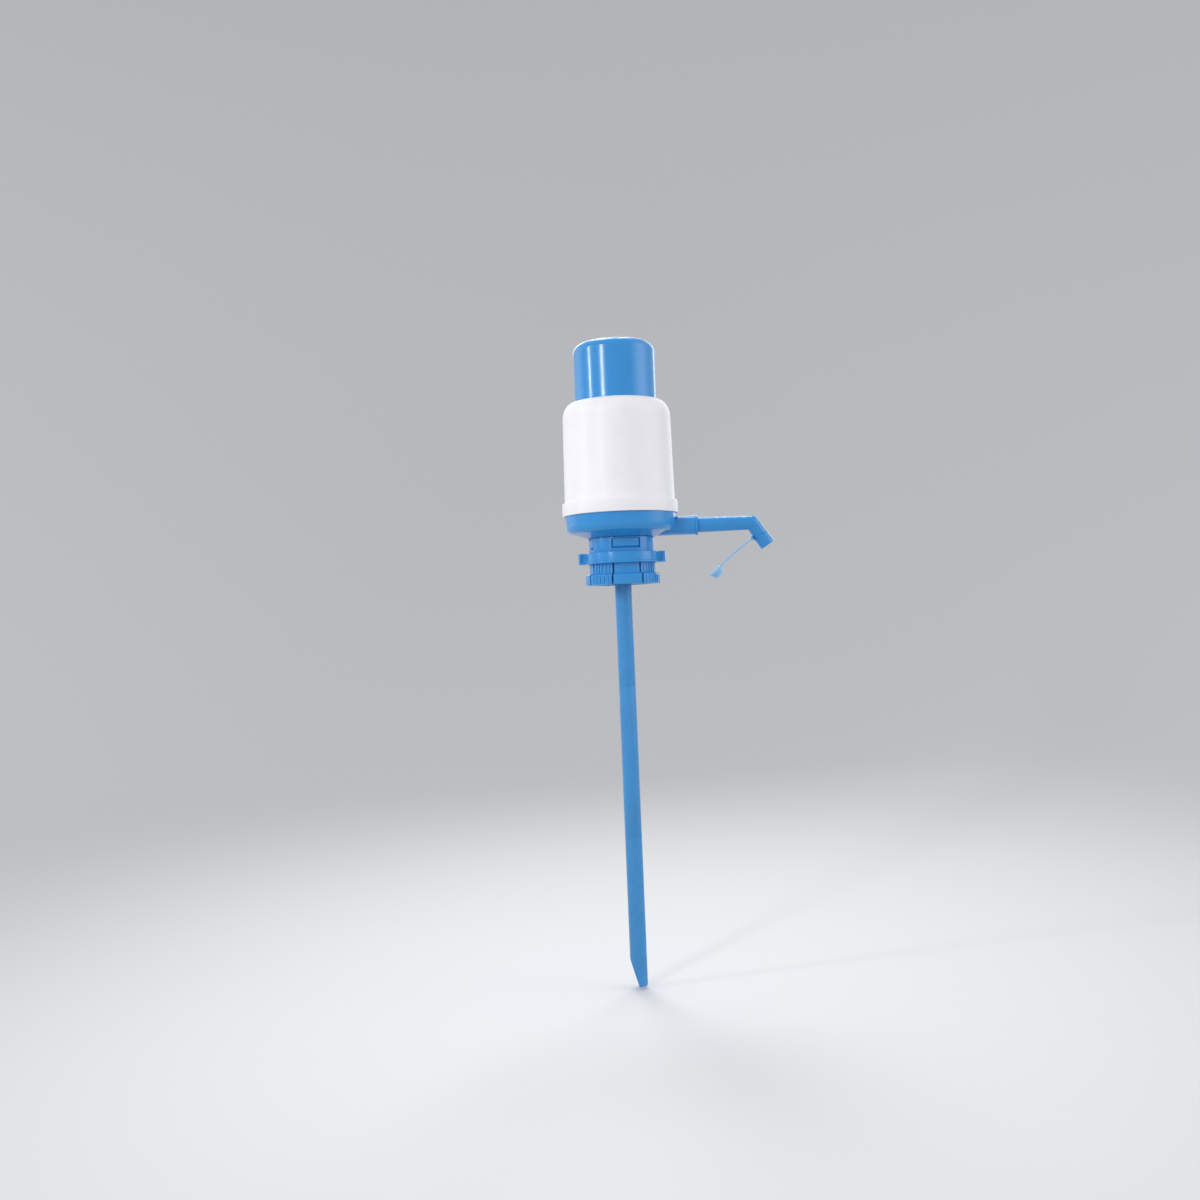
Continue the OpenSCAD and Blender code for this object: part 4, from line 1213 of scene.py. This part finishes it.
class JUGPUMP_OT_clamp_collar(bpy.types.Operator):
    """Makes the collar with its windows, clamping fingers, grip ribs and flange"""

    bl_idname = "jug_pump.clamp_collar"
    bl_label = "Clamp collar"

    def execute(self, context):
        s = sizes()
        foot, top = levels("clamp_collar")
        play, step, lead_in, chamfer = 0.3, 1, 2, 1.6
        shelf = -s.skirt_drop - play
        finger_top = -s.skirt_drop - step
        flange_r = s.finger_r + s.flange_w
        flange_top = foot + s.flange_h
        hook_r = s.neck_r - s.hook_depth
        sleeve_in_r = s.sleeve_r - s.sleeve_wall
        corners = [
            (sleeve_in_r, top, 0.3),
            (sleeve_in_r, shelf, 0.2),
            (s.neck_r, shelf, 0.3),
            (s.neck_r, foot + s.hook_h + s.hook_depth, 0.5),
            (hook_r, foot + s.hook_h, 0.6),
            (hook_r, foot + lead_in, 0.6),
            (s.neck_r, foot, 0.4),
            (flange_r, foot, 0.6),
            (flange_r, flange_top - chamfer, 0.8),
            (flange_r - chamfer, flange_top, 0.5),
            (s.finger_r, flange_top, 0.5),
            (s.finger_r, finger_top - step, 0.2),
            (s.sleeve_r, finger_top, 0.2),
            (s.sleeve_r, top, 0.4),
        ]
        low = drum_floor(s) - WINDOW_DROP - s.window_h
        high = low + s.window_h
        inner, outer = s.neck_r + s.skirt_wall, s.sleeve_r + PAST
        opening = [(inner, low), (outer, low), (outer, high), (inner, high)]
        sweep = 2 * math.asin(s.window_w / 2 / s.sleeve_r)
        steps = 28
        first = s.collar_turn - math.pi / 2
        windows = spread(lambda: turned(opening, steps, sweep), COLLAR_GROUPS, first)

        uncut = 4  # the slots end this far under the fingers' top
        slot_turn = math.asin((s.tongue_w + s.slot_w) / 2 / s.finger_r)
        low = (hook_r - PAST, -s.slot_w / 2, foot - PAST)
        high = (flange_r + 2 * PAST, s.slot_w / 2, finger_top - uncut)
        slots = [
            spread(lambda: block(low, high), COLLAR_GROUPS, first + side * slot_turn)
            for side in (-1, 1)
        ]
        solid = carved(lathe(corners), windows, *slots)
        add_piece("clamp_collar", solid, "pump_body", "blue_plastic", ["clamp_collar"])

        root = 1.0  # depth of a rib inside the wall
        low_edge, high_edge = 1.6, 2.2  # the flange's edges stay free of ribs
        rows = [
            ("finger_ribs", s.finger_r, flange_top - root, finger_top - 2 * root),
            ("flange_ribs", flange_r, foot + low_edge, flange_top - high_edge),
        ]
        inputs = {
            "Groups": COLLAR_GROUPS,
            "Bars": s.ribs,
            "Bar Turn": s.rib_pitch / s.finger_r,
            "First Turn": first + math.pi / COLLAR_GROUPS,
        }
        for name, wall_r, rib_low, rib_high in rows:
            lengths = {
                "Radius": wall_r + (s.rib_depth - root) / 2,
                "Depth": root + s.rib_depth,
                "Width": s.rib_w,
                "Low": rib_low,
                "High": rib_high,
                "Rounding": 0.35,
            }
            inputs.update(in_metres(lengths))
            add_grown(name, bars_round_axis(), inputs, "pump_body", "blue_plastic")
        return {"FINISHED"}


class JUGPUMP_OT_lock_ring(bpy.types.Operator):
    """Makes the winged ring that locks the fingers"""

    bl_idname = "jug_pump.lock_ring"
    bl_label = "Lock ring"

    def execute(self, context):
        s = sizes()
        low, high = levels("lock_ring")
        bead_r, bead_h, wing_edge = s.ring_r + s.ring_bead, 1.6, 0.6
        corners = [
            (s.ring_in_r, low, 0.3),
            (bead_r, low, 0.4),
            (bead_r, low + bead_h, 0.35),
            (s.ring_r, low + bead_h + s.ring_bead, 0.4),
            (s.ring_r, high, 0.7),
            (s.ring_in_r, high, 0.7),
        ]
        wings = spread(lambda: prism(self.wing(s), low, high, wing_edge), 2)
        solid = carved(united(lathe(corners), wings), self.pockets(s))
        add_piece("lock_ring", solid, "ring", "blue_plastic", ["lock_ring"])
        return {"FINISHED"}

    def wing(self, s):
        """Outline of the wing on the +X side, which starts inside the ring's wall."""
        into_wall, corner, steps = 1.5, 0.9, 12
        half = s.wing_w / 2
        start_x = math.sqrt((s.ring_in_r + into_wall) ** 2 - half**2)
        tip = math.asin(half / s.wing_reach)
        turns = [-tip + 2 * tip * k / steps for k in range(steps + 1)]
        ends = [[s.wing_reach * math.cos(a), s.wing_reach * math.sin(a)] for a in turns]
        ends[0].append(corner)
        ends[-1].append(corner)
        return rounded([(start_x, -half), *ends, (start_x, half)])

    def pockets(self, s):
        low, high = levels("lock_ring")
        half = s.wing_w / 2
        rim, edge = 1.8, 0.35
        inner = math.sqrt(s.ring_r**2 - half**2) + rim
        outer = math.sqrt(s.wing_reach**2 - half**2) - rim
        box_low = (inner, half - s.wing_pocket, low + rim)
        box_high = (outer, half + 2 * PAST, high - rim)
        boxes = []
        for x in (-1, 1):
            for y in (-1, 1):
                boxes.append(moved(block(box_low, box_high, edge), Matrix.Diagonal((x, y, 1, 1))))
        cut = joined(*boxes)
        bmesh.ops.recalc_face_normals(cut, faces=cut.faces)
        return cut


class JUGPUMP_OT_spout(bpy.types.Operator):
    """Makes the spout: its plug in the socket, the elbow and the outlet leg"""

    bl_idname = "jug_pump.spout"
    bl_label = "Spout"

    def execute(self, context):
        s = sizes()
        gap = 0.3  # between the plug's end and its seat
        start = s.socket_reach - s.plug_len + gap
        elbow = s.spout_reach - start
        seal_depth, seal_low, seal_high = 1.5, 5.0, 6.85
        tube = [
            (0, 0),
            (s.plug_r, 0, 0.8),
            *groove(s.plug_r, seal_depth, seal_low, seal_high, 0.15, 0.15),
            (s.plug_r, s.plug_len, 0.1),
            (s.root_r, s.plug_len, 0.15),
            (s.elbow_r, elbow),
            (0, elbow),
        ]
        leg_r = s.elbow_r - LEG_STEP
        ring_start = s.outlet_len - s.tether_len
        leg = [
            (0, 0),
            (s.elbow_r, 0),
            (s.elbow_r, ring_start, 0.3),
            (leg_r, ring_start, 0.1),
            (leg_r, s.outlet_len, 0.25),
            (0, s.outlet_len),
        ]
        socket = s.outlet_len - s.outlet_bore_len
        corner = shift(s.spout_reach, 0, s.spout_z) @ about("X", math.pi / 2)
        more = 0.15  # the elbow's ball stands out of both tubes
        sides = SMALL_SIDES
        mouth = s.outlet_len + PAST
        solid = united(
            moved(lathe(tube, sides), on_spout(s, start)),
            moved(ball(s.elbow_r + more), corner),
            moved(lathe(leg, sides), on_outlet(s)),
        )
        solid = carved(
            solid,
            moved(rod(s.passage_r, -PAST, elbow, steps=sides), on_spout(s, start)),
            moved(ball(s.passage_r + more), corner),
            moved(rod(s.passage_r, 0, s.outlet_len, steps=sides), on_outlet(s)),
            moved(rod(s.outlet_bore_r, socket, mouth, steps=sides), on_outlet(s)),
        )
        add_piece("spout", solid, "spout_arm", "blue_plastic", ["spout"])
        return {"FINISHED"}


def strap_geometry(s):
    """The strap's hinge, the centre and radius of its arc, and the angles it runs between."""
    before_ring, off_ring = 1.4, 1.7
    along = s.outlet_len - s.tether_len - before_ring
    out = s.tether_r + off_ring
    slope = s.outlet_slope
    hinge = Vector((s.spout_reach, s.spout_z))
    hinge += along * Vector((math.cos(slope), -math.sin(slope)))
    hinge += out * Vector((-math.sin(slope), -math.cos(slope)))
    radius = s.strap_len / s.strap_bend
    start = math.pi / 2 + s.strap_slope
    centre = hinge - radius * Vector((math.cos(start), math.sin(start)))
    stop = start + s.strap_bend * (s.strap_len - s.stopper_r) / s.strap_len
    return SimpleNamespace(
        along=along, out=out, hinge=hinge, centre=centre, radius=radius, start=start, stop=stop
    )


class JUGPUMP_OT_tether_ring(bpy.types.Operator):
    """Makes the ring on the outlet leg that holds the strap"""

    bl_idname = "jug_pump.tether_ring"
    bl_label = "Tether ring"

    def execute(self, context):
        s = sizes()
        bend = strap_geometry(s)
        play, leg_gap, barrel_play, edge = 0.05, 0.15, 0.1, 0.3
        start = s.outlet_len - s.tether_len + play
        bore_r = s.elbow_r - LEG_STEP + play
        half = s.strap_w / 2
        edges = (0.15, 0.4, 0.5, 0.25)
        ring = lathe(band(bore_r, s.tether_r, start, s.outlet_len, edges), SMALL_SIDES)

        # the cradle holds the barrel, and a foot joins it to the ring
        reach, raised, foot_start, foot_end = 1.7, 0.4, 0.25, 2
        low, high = bend.along - reach, bend.along + reach
        cradle = block((s.elbow_r + leg_gap, -half, low), (bend.out, half, high), edge)
        foot_low = (bore_r + raised, -half, start + foot_start)
        foot_high = (s.tether_r + raised, half, start + foot_end)
        foot = block(foot_low, foot_high, edge)
        barrel = cross_bar(s.barrel_r + barrel_play, half + PAST, bend.out, bend.along)
        solid = moved(carved(united(ring, cradle, foot), barrel), on_outlet(s))
        # the ring keeps the cap's blue, while strap and stopper have the paler tint that paints
        # the highlight along the strap
        slot, finish = "stopper_plastic", "blue_plastic"
        add_piece("tether_ring", solid, "spout_arm", slot, ["tether_ring"], finish)
        return {"FINISHED"}


class JUGPUMP_OT_stopper(bpy.types.Operator):
    """Makes the strap with the hollow stopper at its end"""

    bl_idname = "jug_pump.stopper"
    bl_label = "Stopper"

    def execute(self, context):
        s = sizes()
        bend = strap_geometry(s)
        thick, wide = s.strap_t / 2, s.strap_w / 2
        corners = [(-thick, -wide), (thick, -wide), (thick, wide), (-thick, wide)]
        edge, steps = 0.45, 48
        section = rounded([(*corner, edge) for corner in corners])
        rings = []
        for i in range(steps + 1):
            a = bend.start + (bend.stop - bend.start) * i / steps
            along = Vector((math.cos(a), math.sin(a)))
            points = [(bend.centre + (bend.radius + out) * along, y) for out, y in section]
            rings.append([(p.x, y, p.y) for p, y in points])
        strap = loft(rings, False)
        shorter = 1  # than the strap is wide
        half = (s.strap_w - shorter) / 2
        barrel = cross_bar(s.barrel_r, half, bend.hinge.x, bend.hinge.y, 0.2)

        play, wall, head_t, head_rise = 0.1, 1.3, 1, 0.3
        plug_r = s.outlet_bore_r - play
        plug_low = -thick - s.stopper_depth
        hollow_r, head_low, head_high = plug_r - wall, -thick - head_t, thick + head_rise
        corners = [
            (0, head_low),
            (hollow_r, head_low, 0.4),
            (hollow_r, plug_low, 0.3),
            (plug_r, plug_low, 0.8),
            (plug_r, head_low, 0.3),
            (s.stopper_r, head_low, 0.5),
            (s.stopper_r, head_high, 0.6),
            (0, head_high),
        ]
        head = moved(
            lathe(corners, SMALL_SIDES),
            shift(bend.centre.x, 0, bend.centre.y),
            about("Y", math.pi / 2 - bend.stop),
            shift(0, 0, bend.radius),
        )
        solid = united(head, strap, barrel)
        add_piece("stopper", solid, "stopper_strap", "stopper_plastic", ["stopper"])
        return {"FINISHED"}


class JUGPUMP_OT_dip_tube(bpy.types.Operator):
    """Makes the three sections of the dip tube and the slanted cut at its foot"""

    bl_idname = "jug_pump.dip_tube"
    bl_label = "Dip tube"

    def execute(self, context):
        s = sizes()
        play, lead_in, lead_len, funnel_start, funnel_end = 0.1, 0.4, 1, 2, 3.2
        spigot_r = s.tube_bore_r - play
        spigot_bore_r = spigot_r - s.spigot_wall
        for name in ("tube_upper", "tube_middle", "tube_lower"):
            low, high = levels(name)
            shoulder = high if name == "tube_upper" else high - s.spigot_len
            corners = [
                (s.tube_bore_r, low, 0.15),
                (s.tube_r, low, 0.3),
                (s.tube_r, shoulder, 0.3),
            ]
            if name == "tube_upper":
                corners.append((s.tube_bore_r, high, 0.15))
            else:
                corners += [
                    (spigot_r, shoulder),
                    (spigot_r, high - lead_len),
                    (spigot_r - lead_in, high, 0.15),
                    (spigot_bore_r, high, 0.15),
                    (spigot_bore_r, shoulder - funnel_start),
                    (s.tube_bore_r, shoulder - funnel_end),
                ]
            solid = lathe(corners, SMALL_SIDES)
            if name == "tube_lower":
                reach, tall = 2 * s.tube_r, 3 * s.foot_cut
                cutter = moved(
                    block((-reach, -reach, -tall), (0, reach, 0)),
                    shift(-s.tube_r, 0, low + s.foot_cut),
                    about("Y", -math.atan2(s.tube_r, s.foot_cut)),
                )
                solid = carved(solid, cutter)
            add_piece(name, solid, "pump_body", "tube_plastic", [name])
        return {"FINISHED"}


class JUGPUMP_OT_air_pump(bpy.types.Operator):
    """Makes the bellows and the return spring"""

    bl_idname = "jug_pump.air_pump"
    bl_label = "Bellows and spring"

    def execute(self, context):
        s = sizes()
        low, high = levels("bellows")
        thick = s.bellows_flange_t
        lengths = {
            "Inner Radius": s.fold_in_r,
            "Outer Radius": s.fold_out_r,
            "Wall": s.fold_wall,
            "Low": low + thick / 2,
            "High": high - thick / 2,
        }
        inputs = {"Folds": float(s.folds), **in_metres(lengths)}
        tree = folded_wall(s.folds)
        folds = add_grown("bellows", tree, inputs, "pump_body", "soft_plastic", ["bellows"])
        head_width = 0.8
        inner = s.fold_in_r - s.fold_wall
        edges = (0.2, 0.4, 0.4, 0.2)
        rings = [
            lathe(band(inner, s.fold_out_r + width, z, z + thick, edges))
            for z, width in ((low, FOOT_WIDTH), (high - thick, head_width))
        ]
        flanges = add_piece("bellows_flanges", joined(*rings), "pump_body", "soft_plastic")
        wire_low, wire_high = levels("return_spring")
        lengths = {
            "Radius": s.spring_r,
            "Wire Radius": s.wire_r,
            "Low": wire_low,
            "High": wire_high,
        }
        inputs = {"Turns": float(s.turns), **in_metres(lengths)}
        nodes = ["return_spring"]
        spring = add_grown(
            "return_spring", coil_spring(), inputs, "pump_body", "spring_steel", nodes
        )
        for piece in (folds, flanges, spring):
            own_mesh(piece)
        return {"FINISHED"}


def valve_flap(s, z, t):
    """A rubber flap under a plate that starts at z, with its barbed stem."""
    middle_t, edge_t, barb_w, barb_h = 1.6, 0.7, 0.7, 2
    hub_share, tip_share = 0.3, 0.5  # of the flap's and the stem's radius
    corners = [
        (0, z - middle_t),
        (s.flap_r * hub_share, z - middle_t, 0.8),
        (s.flap_r, z - edge_t, 0.2),
        (s.flap_r, z, 0.1),
        (s.stem_r, z, 0.1),
        (s.stem_r, z + t, 0.1),
        (s.stem_r + barb_w, z + t, 0.15),
        (s.stem_r * tip_share, z + t + barb_h, 0.3),
        (0, z + t + barb_h),
    ]
    return lathe(corners, SMALL_SIDES)


def flap_holes(s, z, t):
    """Cutters for the holes under a flap and the hole of its stem."""
    play, inwards = 0.1, 4
    low, high = z - PAST, z + t + PAST
    stem = rod(s.stem_r + play, low, high, steps=HOLE_SIDES)

    def hole():
        bar = rod(s.valve_hole_r, low, high, steps=HOLE_SIDES)
        return moved(bar, shift(s.flap_r - inwards, 0, 0))

    return joined(stem, spread(hole, s.valve_holes))


class JUGPUMP_OT_inner_parts(bpy.types.Operator):
    """Makes the plates, valves, seals and clamping ring inside the pump"""

    bl_idname = "jug_pump.inner_parts"
    bl_label = "Inner parts"

    def execute(self, context):
        s = sizes()
        self.top_plate(s)
        self.valve_plate(s)
        self.seals(s)
        return {"FINISHED"}

    def top_plate(self, s):
        low, high = levels("top_plate")
        plate_low = high - s.top_plate_t
        play, cuff_w = 0.5, 1.2
        plate_r = s.cap_r - s.cap_wall - play
        cuff_r = s.fold_out_r + cuff_w
        corners = [
            (0, plate_low),
            (cuff_r, plate_low, 0.2),
            (cuff_r, low, 0.3),
            (plate_r, low, 0.4),
            (plate_r, high, 1.0),
            (0, high),
        ]
        holes = flap_holes(s, plate_low, s.top_plate_t)
        plate = carved(lathe(corners), holes)
        add_piece("top_plate", plate, "cap", "white_plastic", ["top_plate"], "inner_plastic")
        flap = valve_flap(s, plate_low, s.top_plate_t)
        add_piece("inlet_valve", flap, "cap", "rubber", ["inlet_valve"])

    def valve_plate(self, s):
        low = levels("base")[1]
        spigot_low, collar_top = levels("valve_plate")
        top = low + s.plate_t
        play, spigot_play, spring_gap = 0.15, 0.3, 1
        wall, spigot_wall, seat_h = 1.6, 3.5, 5
        plate_r = s.drum_r - play
        collar_r = s.fold_out_r + FOOT_WIDTH + play
        collar_out_r = collar_r + wall
        seat_r = s.spring_r - s.wire_r - spring_gap
        seat_in_r = seat_r - wall
        spigot_r = s.drum_r - s.drum_draft - s.drum_wall - spigot_play
        spigot_in_r = spigot_r - spigot_wall
        seal_depth, seal_low, seal_high = 1.5, spigot_low + 1.2, spigot_low + 3.2
        corners = [
            (0, low),
            (spigot_in_r, low, 0.3),
            (spigot_in_r, spigot_low, 0.4),
            (spigot_r, spigot_low, 0.4),
            *groove(spigot_r, seal_depth, seal_low, seal_high, 0.15, 0.2),
            (spigot_r, low, 0.2),
            (plate_r, low, 0.3),
            (plate_r, top, 0.3),
            (collar_out_r, top, 0.4),
            (collar_out_r, collar_top, 0.4),
            (collar_r, collar_top, 0.4),
            (collar_r, top, 0.2),
            (seat_r, top, 0.3),
            (seat_r, top + seat_h, 0.4),
            (seat_in_r, top + seat_h, 0.4),
            (seat_in_r, top, 0.3),
            (0, top),
        ]
        holes = flap_holes(s, low, s.plate_t)
        plate = carved(lathe(corners), holes)
        slot, finish = "white_plastic", "inner_plastic"
        add_piece("valve_plate", plate, "pump_body", slot, ["valve_plate"], finish)
        flap = valve_flap(s, low, s.plate_t)
        add_piece("outlet_valve", flap, "pump_body", "rubber", ["outlet_valve"])
        clear = 1.5  # of the bellows' folds
        inner, outer = s.fold_out_r + clear, s.fold_out_r + FOOT_WIDTH
        z = top + s.bellows_flange_t
        ring = lathe(band(inner, outer, z, z + s.retainer_t, (0.2, 0.3, 0.4, 1.0)))
        add_piece("bellows_retainer", ring, "pump_body", slot, ["bellows_retainer"], finish)

    def seals(self, s):
        low, high = levels("neck_seal")
        play, root_out, lip_t, root_in, raised = 0.15, 0.8, 0.8, 1.8, 1
        outer = s.neck_r - play
        corners = [
            (s.seal_in_r, high, 0.3),
            (outer, high, 0.3),
            (outer, 0, 0.5),
            (s.seal_lip_r + root_out, 0, 0.4),
            (s.seal_lip_r, low, 0.35),
            (s.seal_lip_r - lip_t, low, 0.35),
            (s.seal_lip_r - root_in, 0, 0.4),
            (s.seal_in_r, raised, 0.4),
        ]
        add_piece("neck_seal", lathe(corners), "pump_body", "rubber", ["neck_seal"])
        low, high = box_of("plate_seal")
        section = (high[2] - low[2]) / 2
        ring = turned(circle((high[0] - section, 0), section))
        ring = moved(ring, shift(0, 0, (low[2] + high[2]) / 2))
        add_piece("plate_seal", ring, "pump_body", "rubber", ["plate_seal"])
        low, high = box_of("spout_seal")
        section = (high[0] - low[0]) / 2
        ring = turned(circle((high[1] - section, 0), section), SMALL_SIDES)
        ring = moved(ring, on_spout(s, (low[0] + high[0]) / 2))
        add_piece("spout_seal", ring, "spout_arm", "rubber", ["spout_seal"])


# name, degrees to the left of the camera, distance, height, width, length, watts
LAMPS = (
    ("strip_side", 73, 1.6, 0.62, 0.13, 0.6, 0.55),
    ("strip_front", 34, 1.6, 0.62, 0.20, 0.6, 0.75),
    ("broad_left", 118, 2.2, 0.6, 1.4, 1.4, 0.36),
    ("top", 160, 0.86, 1.77, 0.5, 0.8, 1.4),
    ("back", 172, 2.0, 1.1, 1.2, 0.9, 1.0),
    ("edge_right", -150, 1.8, 0.6, 0.4, 1.6, 0.5),
    ("spout_top", -163, 0.86, 1.77, 0.3, 0.6, 0.5),
    ("fill_right", -80, 2.2, 0.8, 2.6, 2.2, 3.5),
)
LAMP_SPREAD = math.radians(60)
LAMP_TARGET = (0.0, 0.0, 0.02)
WORLD_COLOUR = (0.95, 0.965, 1.0, 1.0)
WORLD_STRENGTH = 0.66


class JUGPUMP_OT_stage(bpy.types.Operator):
    """Makes the camera, the pale backdrop and the soft lights"""

    bl_idname = "jug_pump.stage"
    bl_label = "Stage"

    def execute(self, context):
        stage = context.scene.jug_pump.stage
        self.backdrop(stage)
        self.camera(stage)
        self.lights()
        return {"FINISHED"}

    def backdrop(self, stage):
        floor = -stage.floor_drop / MM
        flat_r, curve_r, height, thick, steps = 1500, 900, 3400, 10, 20
        wall_r, top, outer_r = flat_r + curve_r, floor + height, curve_r + thick
        middle = (flat_r, floor + curve_r)
        outline = [
            (0, floor),
            *arc(middle, curve_r, curve_r, -90, 0, steps),
            (wall_r, top),
            (wall_r + thick, top),
            *arc(middle, outer_r, outer_r, 0, -90, steps),
            (0, floor - thick),
        ]
        mesh = mesh_of("backdrop", turned(outline, SMALL_SIDES))
        mesh.shade_smooth()
        material, tree, shader = new_material("backdrop")
        cloud = tree.remap(tree.noise(tree.place(), 1.4, 2.0), 0.3, 0.7, 0.0, 0.05)
        colour = tuple(bpy.context.scene.jug_pump.colours.backdrop)
        cloud_colour = (0.7, 0.72, 0.75, 1.0)
        tree.feed(shader.inputs["Base Color"], tree.mix(cloud, colour, cloud_colour))
        shader.inputs["Roughness"].default_value = 0.9
        mesh.materials.append(material)
        backdrop = new_object("backdrop", mesh)
        backdrop.visible_shadow = False
        backdrop.visible_diffuse = False
        backdrop.visible_glossy = False

    def camera(self, stage):
        camera = bpy.data.cameras.new("camera")
        camera.sensor_width = 36.0
        camera.lens = stage.lens
        camera.clip_start, camera.clip_end = 0.05, 50.0
        eye = new_object("camera", camera)
        eye.matrix_world = (
            shift(0.0, -stage.distance, -stage.eye_drop)
            @ about("Z", stage.pan)
            @ about("X", math.pi / 2 + stage.pitch)
            @ about("Z", -stage.lean)
        )
        bpy.context.scene.camera = eye

    def lights(self):
        world = bpy.data.worlds.new("studio")
        world.use_nodes = True
        back = world.node_tree.nodes["Background"]
        back.inputs["Color"].default_value = WORLD_COLOUR
        back.inputs["Strength"].default_value = WORLD_STRENGTH
        bpy.context.scene.world = world
        bpy.context.scene.view_settings.view_transform = "Standard"
        target = Vector(LAMP_TARGET)
        for name, left, distance, height, wide, tall, watts in LAMPS:
            lamp = bpy.data.lights.new(name, "AREA")
            lamp.shape = "RECTANGLE"
            lamp.size, lamp.size_y = wide, tall
            lamp.energy = watts
            lamp.spread = LAMP_SPREAD
            thing = new_object(name, lamp)
            turn = math.radians(left)
            place = Vector((-distance * math.sin(turn), -distance * math.cos(turn), height))
            thing.location = place
            thing.rotation_euler = (target - place).to_track_quat("-Z", "Y").to_euler()
            thing.visible_camera = False


PIECES = (
    JUGPUMP_OT_press_cap,
    JUGPUMP_OT_housing,
    JUGPUMP_OT_base,
    JUGPUMP_OT_clamp_collar,
    JUGPUMP_OT_lock_ring,
    JUGPUMP_OT_spout,
    JUGPUMP_OT_tether_ring,
    JUGPUMP_OT_stopper,
    JUGPUMP_OT_dip_tube,
    JUGPUMP_OT_air_pump,
    JUGPUMP_OT_inner_parts,
    JUGPUMP_OT_stage,
)


class JUGPUMP_PT_panel(bpy.types.Panel):
    """Lists the pump's pieces and settings"""

    bl_idname = "JUGPUMP_PT_panel"
    bl_label = "Jug Pump"
    bl_space_type = "VIEW_3D"
    bl_region_type = "UI"
    bl_category = "Jug Pump"

    def draw(self, context):
        for piece in PIECES:
            self.layout.operator(piece.bl_idname)
        settings = context.scene.jug_pump
        for group in (settings.colours, settings.sizes, settings.stage):
            box = self.layout.box()
            for key in group.bl_rna.properties.keys():
                if key not in {"rna_type", "name"}:
                    box.prop(group, key)


CLASSES = (
    JugPumpColours,
    JugPumpSizes,
    JugPumpStage,
    JugPumpSettings,
    *PIECES,
    JUGPUMP_PT_panel,
)


def register():
    for cls in CLASSES:
        bpy.utils.register_class(cls)
    bpy.types.Scene.jug_pump = bpy.props.PointerProperty(type=JugPumpSettings)


def unregister():
    del bpy.types.Scene.jug_pump
    for cls in reversed(CLASSES):
        bpy.utils.unregister_class(cls)


def main():
    register()
    for piece in PIECES:
        group, name = piece.bl_idname.split(".")
        getattr(getattr(bpy.ops, group), name)()


if __name__ == "__main__":
    main()
